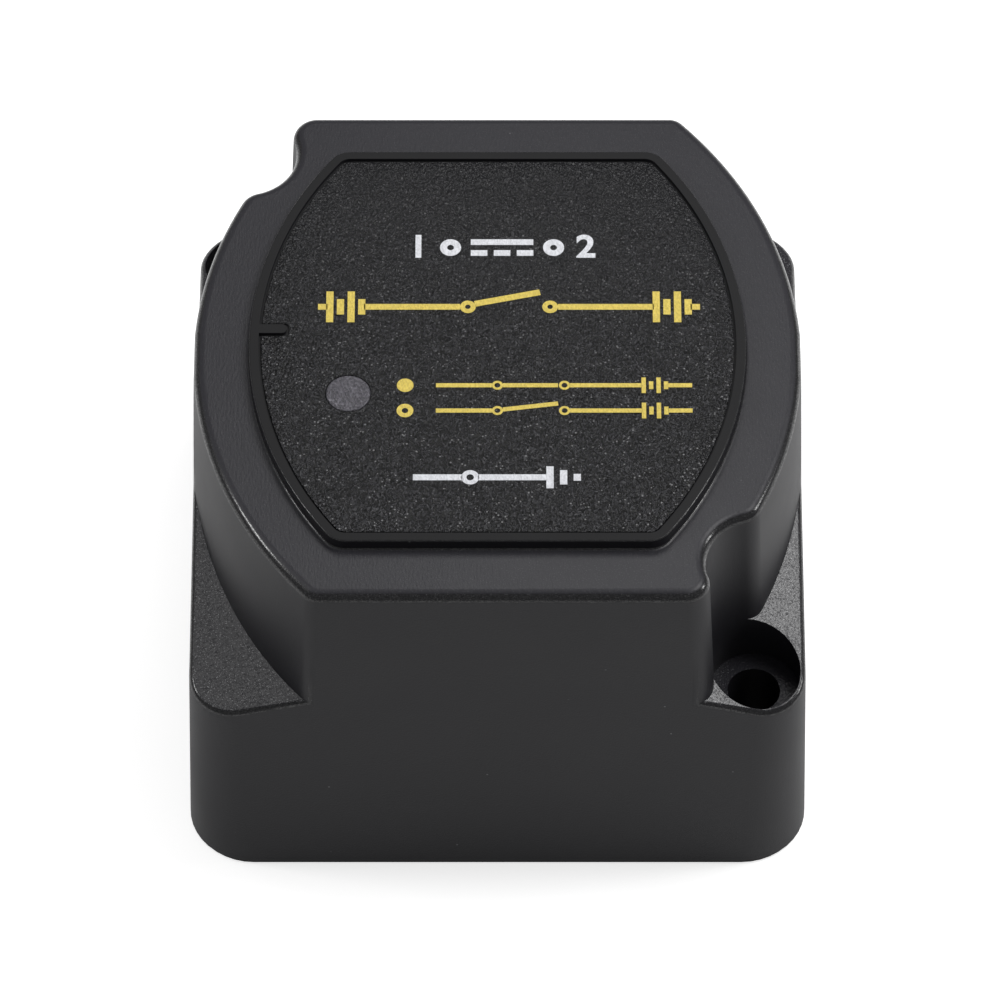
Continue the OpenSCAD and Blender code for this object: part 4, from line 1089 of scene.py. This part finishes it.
class RELAY_OT_print(bpy.types.Operator):
    """Prints generic symbols on the label"""

    bl_idname = "relay.print"
    bl_label = "Printed symbols"

    def execute(self, context):
        sizes = Millimetres(context.scene.relay_housing)
        label = Millimetres(context.scene.relay_label)
        colours = context.scene.relay_colours
        level = sizes.rim + sizes.panel_rise - label.recess + label.thickness
        bold, fine = label.stroke, label.fine_stroke
        # The rows by their place along Y, in millimetres from the label's middle
        top_row, switch_row, foot_row = 13.15, 5, -17.95
        lit_row, dark_row = -5.65, -9.05
        white = Printer(level, label.ink)
        white.numeral("1", (-8.6, top_row), 4.3)
        white.numeral("2", (9.6, top_row), 4.3)
        for side in (-1, 1):
            white.ring((0.5 + side * 5.6, top_row), 1.15, bold)
        white.line((-2.9, top_row + 0.75), (3.9, top_row + 0.75), bold)
        for i in range(3):
            white.line((-2.9 + i * 2.5, top_row - 0.75), (-1.1 + i * 2.5, top_row - 0.75), bold)
        white.line((-9, foot_row), (-3.75, foot_row), bold)
        white.ring((-2.9, foot_row), 0.95, fine)
        white.line((-2.05, foot_row), (5.2, foot_row), bold)
        for i, half in enumerate((1.45, 0.95, 0.45)):
            x = 5.6 + i * 1.45
            white.line((x, foot_row - half), (x, foot_row + half), bold)
        yellow = Printer(level, label.ink)
        for x, outward in ((-16.4, -1), (18.9, 1)):
            yellow.battery(x, switch_row, 4.2, 1.15, bold)
            yellow.line((x + outward * 1.98, switch_row), (x + outward * 3.0, switch_row), bold)
        yellow.line((-14.42, switch_row), (-4.05, switch_row), bold)
        yellow.line((6.55, switch_row), (16.9, switch_row), bold)
        for x in (-3.2, 5.7):
            yellow.ring((x, switch_row), 0.85, fine)
        yellow.line((-2.45, switch_row + 0.4), (4.6, switch_row + 2.0), bold)
        yellow.dot((-9.9, lit_row), 0.9)
        yellow.ring((-9.9, dark_row), 0.9, fine)
        for y, lift in ((lit_row, 0.0), (dark_row, 0.95)):
            yellow.line((-6.6, y), (-0.6, y), fine)
            for x in (0, 7.2):
                yellow.ring((x, y), 0.6, 0.28)
            yellow.line((7.8, y), (15.5, y), fine)
            yellow.line((0.6, y + lift * 0.15), (6.5, y + lift), fine)
            yellow.battery(16.9, y, 2.1, 0.8, fine * 0.85)
            yellow.line((18.3, y), (20.9, y), fine)
        finished("white_print", white.printed(), ink_finish("white_ink", colours.white_ink))
        finished("yellow_print", yellow.printed(), ink_finish("yellow_ink", colours.yellow_ink))
        return {"FINISHED"}


def thread_profile(turn):
    """Depth of a thread from 0 at the crest to 1 at the root, over one turn."""
    wave = abs(((turn + 0.5) % 1.0) * 2 - 1)
    crest, flank = 0.12, 0.72
    return min(max((wave - crest) / flank, 0), 1)


def threaded_stud(sizes, side):
    """A stud with a real helical thread, a turned end and a square head."""
    per_turn, around, point, rooted = 8, 40, 0.75, 0.5
    low, high = sizes.stud_end, sizes.head_level + rooted
    rows = int((high - low) / sizes.thread_pitch * per_turn)
    levels = []
    for i in range(rows + 1):
        z = low + (high - low) * i / rows
        ring = []
        for j in range(around):
            angle = FULL_TURN * j / around
            depth = sizes.thread_depth * thread_profile(z / sizes.thread_pitch - j / around)
            chamfer = max(0.0, 1.0 - (z - low)) * point
            reach = min(sizes.stud - depth, sizes.stud - chamfer)
            ring.append((reach * math.cos(angle), reach * math.sin(angle)))
        levels.append((z, ring))
    width, level = sizes.head_width, sizes.head_level
    head = slab(width, width, level, level + sizes.head_thickness)
    bevel(head, head.edges[:], 0.3, 2)
    stud = join(head, loft(levels))
    bmesh.ops.translate(stud, verts=stud.verts[:], vec=(side * sizes.pitch / 2, 0, 0))
    return stud


class RELAY_OT_studs(bpy.types.Operator):
    """Makes the two threaded cable studs"""

    bl_idname = "relay.studs"
    bl_label = "Studs"

    def execute(self, context):
        sizes = Millimetres(context.scene.relay_terminals)
        look = metal_finish("stud_copper", context.scene.relay_colours.copper, 0.24, (1, 1, 0.2))
        for name, side in (("left_stud", -1), ("right_stud", 1)):
            finished("threaded_" + name, threaded_stud(sizes, side), look, [name], smooth=40)
        return {"FINISHED"}


def hex_nut(sizes):
    """A nut with chamfered faces and a countersunk bore."""
    corner = sizes.nut / 2 / math.cos(math.pi / 6)
    low, high = sizes.nut_level, sizes.nut_level + sizes.nut_thickness
    # The chamfer starts just inside the flats and falls by 30 degrees towards the corners
    flat, outside = sizes.nut / 2 * 0.97, corner + 0.01
    drop = (corner - flat) * math.tan(math.radians(30))
    nut = post(corner, low, high, steps=6)
    cone = turned([
        (0, low), (flat, low), (outside, low + drop), (outside, high - drop), (flat, high), (0, high),
    ], 72)
    bore, sink = sizes.stud + PLAY, 0.5
    mouth = bore + sink + OVERCUT
    hole = turned([
        (0, low - OVERCUT), (mouth, low - OVERCUT), (bore + sink, low), (bore, low + sink),
        (bore, high - sink), (bore + sink, high), (mouth, high + OVERCUT), (0, high + OVERCUT),
    ])
    return cut(combine(nut, cone, "INTERSECT"), hole)


def split_washer(sizes):
    """A spring washer: a bar bent round the stud, its cut ends a little apart in height."""
    rise, play, corner = 0.35, 0.12, 0.22
    steps, turn = 60, math.radians(350)
    inner, outer = sizes.stud + play, sizes.lock
    low, thick = sizes.lock_level, sizes.lock_thickness - rise
    bm = bmesh.new()
    size = Matrix.Diagonal((outer - inner, thick, 1, 1))
    upright = Matrix.Rotation(QUARTER, 4, "X")
    place = Matrix.Translation(((inner + outer) / 2, 0, low + thick / 2))
    bmesh.ops.create_grid(bm, x_segments=1, y_segments=1, size=0.5, matrix=place @ upright @ size)
    bmesh.ops.bevel(
        bm, geom=bm.verts[:], offset=corner, segments=2, profile=0.5, affect="VERTICES", material=-1
    )
    bmesh.ops.spin(
        bm, geom=bm.faces[:] + bm.edges[:] + bm.verts[:], cent=(0, 0, 0), axis=(0, 0, 1),
        dvec=(0, 0, rise / steps), angle=turn, steps=steps,
    )
    bmesh.ops.remove_doubles(bm, verts=bm.verts[:], dist=1e-5)
    bmesh.ops.recalc_face_normals(bm, faces=bm.faces[:])
    return bm


def on_both_studs(make, sizes):
    """One copy on each stud, the left one turned half round."""
    copies = []
    for side in (-1, 1):
        bm = make(sizes)
        turn = Matrix.Rotation(0 if side > 0 else math.pi, 4, "Z")
        place = Matrix.Translation((side * sizes.pitch / 2, 0, 0))
        bmesh.ops.transform(bm, matrix=place @ turn, verts=bm.verts[:])
        copies.append(bm)
    return gathered(*copies)


def flat_washer(sizes):
    """A stamped washer: rolled edge on its outer face, sharper edge on its inner one."""
    inner, outer = sizes.stud + PLAY, sizes.washer
    low, high = sizes.plate_level - sizes.washer_thickness, sizes.plate_level
    rolled, sheared, bore_edge = 0.25, 0.1, 0.08
    profile = [
        (inner, low + 0.12), (inner + 0.12, low), (outer - rolled, low), (outer - 0.07, low + 0.07),
        (outer, low + rolled), (outer, high - sheared), (outer - sheared, high),
        (inner + bore_edge, high), (inner, high - bore_edge),
    ]
    return turned(profile, 72, closed=True)


class RELAY_OT_nuts(bpy.types.Operator):
    """Makes the nuts, spring washers and flat washers"""

    bl_idname = "relay.nuts"
    bl_label = "Nuts and washers"

    def execute(self, context):
        sizes = Millimetres(context.scene.relay_terminals)
        colours = context.scene.relay_colours
        brass = metal_finish("nut_brass", colours.brass, 0.26, (1, 1, 0.3))
        zinc = metal_finish("washer_zinc", colours.zinc, 0.34, (1, 1, 1), tarnish=0.8)
        dark_zinc = shade(colours.zinc, 0.62)[:3]
        spring = metal_finish("washer_spring_steel", dark_zinc, 0.36, (1, 1, 1))
        for name, make, look, slot, node in (
            ("hex_nuts", hex_nut, brass, "brass", "terminal_nuts"),
            ("split_washers", split_washer, spring, "spring_steel", "lock_washers"),
            ("round_washers", flat_washer, zinc, "zinc_steel", "flat_washers"),
        ):
            finished(name, on_both_studs(make, sizes), look, [node])
        return {"FINISHED"}


def plate_screw_places(sizes, housing):
    """Two screws in the plate's corners and two at the bosses by its edges."""
    corner = wall_half(housing, housing.ledge) - housing.wall - 5.2
    edge = wall_half(housing, housing.rim) - housing.wall - BOSS_INSET
    x = sizes.pitch / 2
    return [(-corner, -corner), (corner, corner), (x, -edge), (-x, edge)]


class RELAY_OT_plate(bpy.types.Operator):
    """Makes the terminal plate with its barrier and pillars"""

    bl_idname = "relay.plate"
    bl_label = "Terminal plate"

    def execute(self, context):
        sizes = Millimetres(context.scene.relay_terminals)
        housing = Millimetres(context.scene.relay_housing)
        half = wall_half(housing, housing.ledge) - housing.wall - sizes.plate_gap
        low, high = sizes.plate_level, sizes.plate_level + sizes.plate_thickness
        outline = rounded_square(half, housing.foot_corner - housing.wall - sizes.plate_gap)
        plate = loft([(low, outline), (high, outline)])
        under, over = low - OVERCUT, high + OVERCUT
        column = housing.column + sizes.plate_gap
        plate = cut(plate, gathered(*[post(column, under, over, at) for at in screw_places(housing)]))
        lower = [e for e in sharp_edges(plate) if max(v.co.z for v in e.verts) < low + 0.01]
        bevel(plate, lower, 0.35)
        barrier = slab(sizes.barrier_width, sizes.barrier_length, sizes.barrier_gap, low + 1)
        free = [
            e for e in barrier.edges
            if max(v.co.z for v in e.verts) < low or abs((e.verts[0].co - e.verts[1].co).z) > 1
        ]
        bevel(barrier, free, 0.4)
        plate = join(plate, barrier)
        pilot, pilot_depth, clearance = 1.25, 6.7, 1.7
        for x in (-sizes.pillar_x, sizes.pillar_x):
            for y in (-sizes.pillar_y, sizes.pillar_y):
                plate = join(plate, post(sizes.pillar, high - 1, sizes.pillar_top, (x, y), steps=48))
                plate = cut(plate, post(pilot, sizes.pillar_top - pilot_depth, 40, (x, y), steps=32))
        bores = [post(sizes.stud + PLAY, under, over, (s * sizes.pitch / 2, 0)) for s in (-1, 1)]
        places = plate_screw_places(sizes, housing)
        bores += [post(clearance, under, over, at, steps=32) for at in places]
        width, depth = sizes.blade_width + 0.1, sizes.blade_thickness + 0.1
        slot = slab(width, depth, under, over, (0, sizes.blade_y))
        plate = cut(plate, gathered(*bores), slot)
        look = plastic_finish("plate_nylon", context.scene.relay_colours.plate, 0.5, 0.25, 0.02)
        finished("insulating_plate", plate, look, ["terminal_plate"])
        return {"FINISHED"}


def cross_screw(sizes):
    """A pan-head screw under the terminal plate, with a cross recess and a threaded shank."""
    radius, height = sizes.screw, sizes.screw_length
    head, rise, level = sizes.screw_head, sizes.screw_rise, sizes.plate_level
    cheek, pitch, slot = 0.45, 1.1, 0.62
    root = radius - 0.28
    # The head's dome, the thread's turns, the point, and then the arms of the cross
    profile = [(0, level - rise)]
    profile += [
        (head * math.sin(angle), level - cheek - (rise - cheek) * math.cos(angle))
        for angle in [QUARTER * i / 8 for i in range(1, 9)]
    ]
    profile += [(head, level), (radius, level)]
    for i in range(int(height / pitch)):
        at = level + 0.3 + i * pitch
        profile += [(root, at), (root, at + 0.25), (radius, at + 0.55), (root, at + 0.85)]
    profile += [(radius - 0.5, level + height - 0.3), (0, level + height)]
    low, high = level - rise - 0.5, level - rise + 1.15
    arms = join(slab(head * 1.15, slot, low, high), slab(slot, head * 1.15, low, high))
    return cut(turned(profile, 40), arms)


class RELAY_OT_plate_screws(bpy.types.Operator):
    """Makes the four screws that hold the terminal plate"""

    bl_idname = "relay.plate_screws"
    bl_label = "Plate screws"

    def execute(self, context):
        sizes = Millimetres(context.scene.relay_terminals)
        housing = Millimetres(context.scene.relay_housing)
        screws = []
        for i, at in enumerate(plate_screw_places(sizes, housing)):
            bm = cross_screw(sizes)
            turn = Matrix.Rotation(math.radians(20 + 37 * i), 4, "Z")
            bmesh.ops.transform(bm, matrix=Matrix.Translation((*at, 0)) @ turn, verts=bm.verts[:])
            screws.append(bm)
        look = metal_finish("screw_zinc", context.scene.relay_colours.zinc, 0.3, (1, 1, 1))
        finished("cross_screws", gathered(*screws), look, ["plate_screws"])
        return {"FINISHED"}


class RELAY_OT_blade(bpy.types.Operator):
    """Makes the push-on ground blade"""

    bl_idname = "relay.blade"
    bl_label = "Ground blade"

    def execute(self, context):
        sizes = Millimetres(context.scene.relay_terminals)
        half, thick = sizes.blade_width / 2, sizes.blade_thickness
        point = sizes.blade_width / 5
        low, high = sizes.blade_low, sizes.blade_high
        outline = [
            (-half, high), (-half, low + point), (point - half, low), (half - point, low),
            (half, low + point), (half, high),
        ]
        blade = loft([(-thick / 2, outline), (thick / 2, outline)])
        hole = post(sizes.blade_hole, -2, 2, (0, (sizes.plate_level + low) / 2), steps=32)
        blade = cut(blade, hole)
        bevel(blade, sharp_edges(blade), 0.1, 2)
        turn = Matrix.Rotation(QUARTER, 4, "X")
        place = Matrix.Translation((0, sizes.blade_y, 0))
        bmesh.ops.transform(blade, matrix=place @ turn, verts=blade.verts[:])
        look = metal_finish("blade_brass", context.scene.relay_colours.brass, 0.24, (0.1, 1, 1))
        finished("push_on_blade", blade, look, ["ground_blade"])
        return {"FINISHED"}


def coil_spring(low, high, radius, wire, turns):
    """A spring of round wire between two levels, its end turns lying flat."""
    per_turn, sides = 28, 12
    steps = int(turns * per_turn)
    flat = 0.5 / turns
    rings = []
    for i in range(steps + 1):
        angle = FULL_TURN * turns * i / steps
        share = min(1, max(0, (i / steps - flat) / (1 - 2 * flat)))
        level = low + wire + (high - low - 2 * wire) * share
        ring = []
        for k in range(sides):
            lean = FULL_TURN * k / sides
            reach = radius + wire * math.cos(lean)
            ring.append((reach * math.cos(angle), reach * math.sin(angle), level + wire * math.sin(lean)))
        rings.append(ring)
    return skin(rings)


class RELAY_OT_springs(bpy.types.Operator):
    """Makes the return spring and the contact spring at one length; in the relay they shorten as the
    plunger is pulled down
    """

    bl_idname = "relay.springs"
    bl_label = "Springs"

    def execute(self, context):
        sizes = Millimetres(context.scene.relay_springs)
        look = metal_finish("spring_wire", (0.48, 0.48, 0.47), 0.28, (1, 1, 1))
        lower = (sizes.return_coil, sizes.return_wire, sizes.return_turns)
        upper = (sizes.contact_coil, sizes.contact_wire, sizes.contact_turns)
        for node, body, joint, form in (
            ("return_spring", CASE, "bridge_slide", lower),
            ("contact_spring", "contact_bridge", "plunger_overtravel", upper),
        ):
            low, high = [corner.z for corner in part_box(node)]
            bm = coil_spring(low / MM, high / MM, *form)
            spring = finished("coiled_" + node, bm, look, [node], body=body)
            share = 1 - TRAVEL[joint] / (high - low)
            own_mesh(spring)
        return {"FINISHED"}


CARRIED_OVER = {
    "nylon": ["coil_bobbin"],
    "winding": ["coil_winding"],
    "laminate": ["circuit_board"],
    "lamp": ["status_lamp"],
    "chips": [
        "microcontroller", "voltage_regulator", "driver_transistor", "flyback_diode", "surge_suppressor",
    ],
    "capacitor": ["filter_capacitor"],
    "resistors": ["chip_resistors"],
    "ceramic": ["chip_capacitors"],
    "tinned": ["coil_pins"],
    "iron": ["pole_core", "coil_frame", "frame_cap", "plunger"],
    "stainless": ["push_rod"],
    "zinc": ["board_screws", "frame_screws", "retaining_clip"],
    "brass": ["guide_sleeve", "left_sense_tab", "right_sense_tab", "spring_collar"],
    "copper": ["contact_bridge"],
    "silver": ["moving_contact_tips", "left_contact_tip", "right_contact_tip"],
    "rubber": ["gasket"],
    "red_lead": ["sense_leads"],
    "black_lead": ["ground_lead"],
}


def inner_finishes(colours):
    """The materials of the CAD nodes that keep their own mesh."""
    return {
        "nylon": plastic_finish("bobbin_nylon", (0.62, 0.58, 0.48), 0.42, 0.4),
        "winding": wire_finish("enamelled_wire", (0.55, 0.2, 0.07)),
        "laminate": board_finish((0.02, 0.12, 0.05)),
        "lamp": plastic_finish("lamp_resin", (0.75, 0.75, 0.68), 0.22, 0.3, 0.003, coat_weight=0.6),
        "chips": plastic_finish("chip_epoxy", (0.028, 0.028, 0.03), 0.4, 0.15, 0.006),
        "capacitor": plastic_finish("capacitor_sleeve", (0.02, 0.035, 0.14), 0.25, 0.8, 0.01),
        "resistors": plastic_finish("resistor_glaze", (0.04, 0.04, 0.045), 0.3, 0.2, 0.006),
        "ceramic": plastic_finish("chip_ceramic", (0.42, 0.3, 0.18), 0.35, 0.2, 0.006),
        "tinned": metal_finish("tinned_copper", (0.7, 0.69, 0.66), 0.3),
        "iron": metal_finish("plated_iron", (0.5, 0.49, 0.46), 0.38, (1, 1, 0.2)),
        "stainless": metal_finish("stainless_rod", (0.6, 0.59, 0.57), 0.22),
        "zinc": metal_finish("inner_zinc", tuple(colours.zinc), 0.32, (1, 1, 1)),
        "brass": metal_finish("inner_brass", tuple(colours.brass), 0.28),
        "copper": metal_finish("bridge_copper", tuple(colours.copper), 0.3, (0.12, 1, 1)),
        "silver": metal_finish("contact_silver", (0.82, 0.81, 0.78), 0.3, (1, 1, 1), 0.01, 0.6),
        "rubber": plastic_finish("gasket_rubber", (0.03, 0.03, 0.03), 0.62, 0.2, 0.02),
        "red_lead": plastic_finish("red_insulation", (0.45, 0.03, 0.025), 0.38, 0.5),
        "black_lead": plastic_finish("black_insulation", (0.025, 0.025, 0.027), 0.4, 0.5),
    }


class RELAY_OT_finishes(bpy.types.Operator):
    """Gives the inner pieces their finishes"""

    bl_idname = "relay.finishes"
    bl_label = "Inner finishes"

    def execute(self, context):
        looks = inner_finishes(context.scene.relay_colours)
        for finish, nodes in CARRIED_OVER.items():
            for node in nodes:
                mesh = frame["nodes"][node].data
                mesh.materials.clear()
                mesh.materials.append(looks[finish])
        return {"FINISHED"}


def area_lamp(name, place, side, power):
    """A soft square lamp that looks at the relay's middle."""
    data = bpy.data.lights.new(name, "AREA")
    data.shape = "SQUARE"
    data.size = side
    data.energy = power
    lamp = bpy.data.objects.new(name, data)
    bpy.context.scene.collection.objects.link(lamp)
    lamp.location = place
    middle = Vector((0, 0, 0.03))
    lamp.rotation_euler = (middle - Vector(place)).to_track_quat("-Z", "Y").to_euler()


def white_world(strength):
    """Even light for the relay, and plain white where the camera looks past it."""
    mix = Nodes(bpy.data.worlds.new("studio"))
    light = mix.node("Background", inputs={"Color": WHITE, "Strength": strength})
    backdrop = mix.node("Background", inputs={"Color": WHITE})
    seen = mix.node("LightPath", output="Is Camera Ray")
    both = mix.node("MixShader", inputs={0: seen, 1: light, 2: backdrop})
    bpy.context.scene.world = mix.end("World", both)


def floor_finish():
    """Pale floor that keeps a soft shadow and lifts to white where it is seen directly."""
    mix = Recipe("studio_floor")
    lift, mirrored = 0.66, 0.35
    grain = mix.noise(14, 2.0)
    matt = mix.node("BsdfDiffuse", inputs={"Color": mix.mottled((0.8, 0.8, 0.8), 0.995, 1.005, grain)})
    glow = mix.node("Emission", inputs={"Color": WHITE, "Strength": lift})
    lit = mix.node("AddShader", inputs={0: matt, 1: glow})
    glossy = mix.node("LightPath", output="Is Glossy Ray")
    seen = mix.node("LightPath", output="Is Camera Ray") + glossy * mirrored
    return mix.end("Material", mix.node("MixShader", inputs={0: seen, 1: matt, 2: lit}))


class RELAY_OT_stage(bpy.types.Operator):
    """Makes the camera, the lamps, the world and the floor"""

    bl_idname = "relay.stage"
    bl_label = "Stage"

    def execute(self, context):
        scene = context.scene
        sizes = Millimetres(scene.relay_studio)
        data = bpy.data.cameras.new("camera")
        data.lens = sizes.lens
        data.sensor_width = 36
        data.clip_end = 20
        camera = bpy.data.objects.new("camera", data)
        scene.collection.objects.link(camera)
        up = Vector((0, math.sin(sizes.height), math.cos(sizes.height)))
        ahead = Vector((0, math.cos(sizes.height), -math.sin(sizes.height)))
        camera.location = (Vector((sizes.aim_x, 0, 0)) + up * sizes.aim_y - ahead * sizes.distance) * MM
        camera.rotation_euler = (QUARTER - sizes.height, 0, 0)
        scene.camera = camera
        scene.view_settings.view_transform = "Standard"
        white_world(sizes.world)
        area_lamp("key", (0.25, 0.075, 0.48), 0.2, sizes.key_power)
        area_lamp("top", (-0.25, 0.06, 0.47), 0.17, sizes.top_power)
        area_lamp("back", (0.01, 0.1, 0.225), 0.08, sizes.back_power)
        area_lamp("left", (-0.62, 0.06, 0.44), 0.13, sizes.side_power)
        area_lamp("right", (0.7, 0.05, 0.36), 0.15, sizes.side_power)
        bm = bmesh.new()
        bmesh.ops.create_grid(bm, x_segments=1, y_segments=1, size=2)
        floor = scratch(bm, "floor")
        floor.data.materials.append(floor_finish())
        return {"FINISHED"}


MAKERS = (
    RELAY_OT_stage, RELAY_OT_housing, RELAY_OT_label, RELAY_OT_lamp_window, RELAY_OT_print,
    RELAY_OT_studs, RELAY_OT_nuts, RELAY_OT_plate, RELAY_OT_plate_screws, RELAY_OT_blade,
    RELAY_OT_springs, RELAY_OT_finishes,
)


class RELAY_PT_sidebar(bpy.types.Panel):
    """Lists the sizes, the colours and the pieces"""

    bl_idname = "RELAY_PT_sidebar"
    bl_label = "Battery isolator relay"
    bl_space_type = "VIEW_3D"
    bl_region_type = "UI"
    bl_category = "Relay"

    def draw(self, context):
        for name, group in GROUPS.items():
            box = self.layout.box()
            box.label(text=group.__doc__)
            for setting in group.__annotations__:
                box.prop(getattr(context.scene, name), setting)
        for maker in MAKERS:
            self.layout.operator(maker.bl_idname)


def register():
    """Registers the classes, and gives the scene its groups of sizes."""
    for made in (*GROUPS.values(), *MAKERS, RELAY_PT_sidebar):
        bpy.utils.register_class(made)
    for name, group in GROUPS.items():
        setattr(bpy.types.Scene, name, PointerProperty(type=group))


def unregister():
    """Takes back what register added."""
    for name in GROUPS:
        delattr(bpy.types.Scene, name)
    for made in reversed((*GROUPS.values(), *MAKERS, RELAY_PT_sidebar)):
        bpy.utils.unregister_class(made)


def main():
    """Registers the add-on and makes every piece."""
    register()
    for maker in MAKERS:
        group, name = maker.bl_idname.split(".")
        getattr(getattr(bpy.ops, group), name)()


if __name__ == "__main__":
    main()
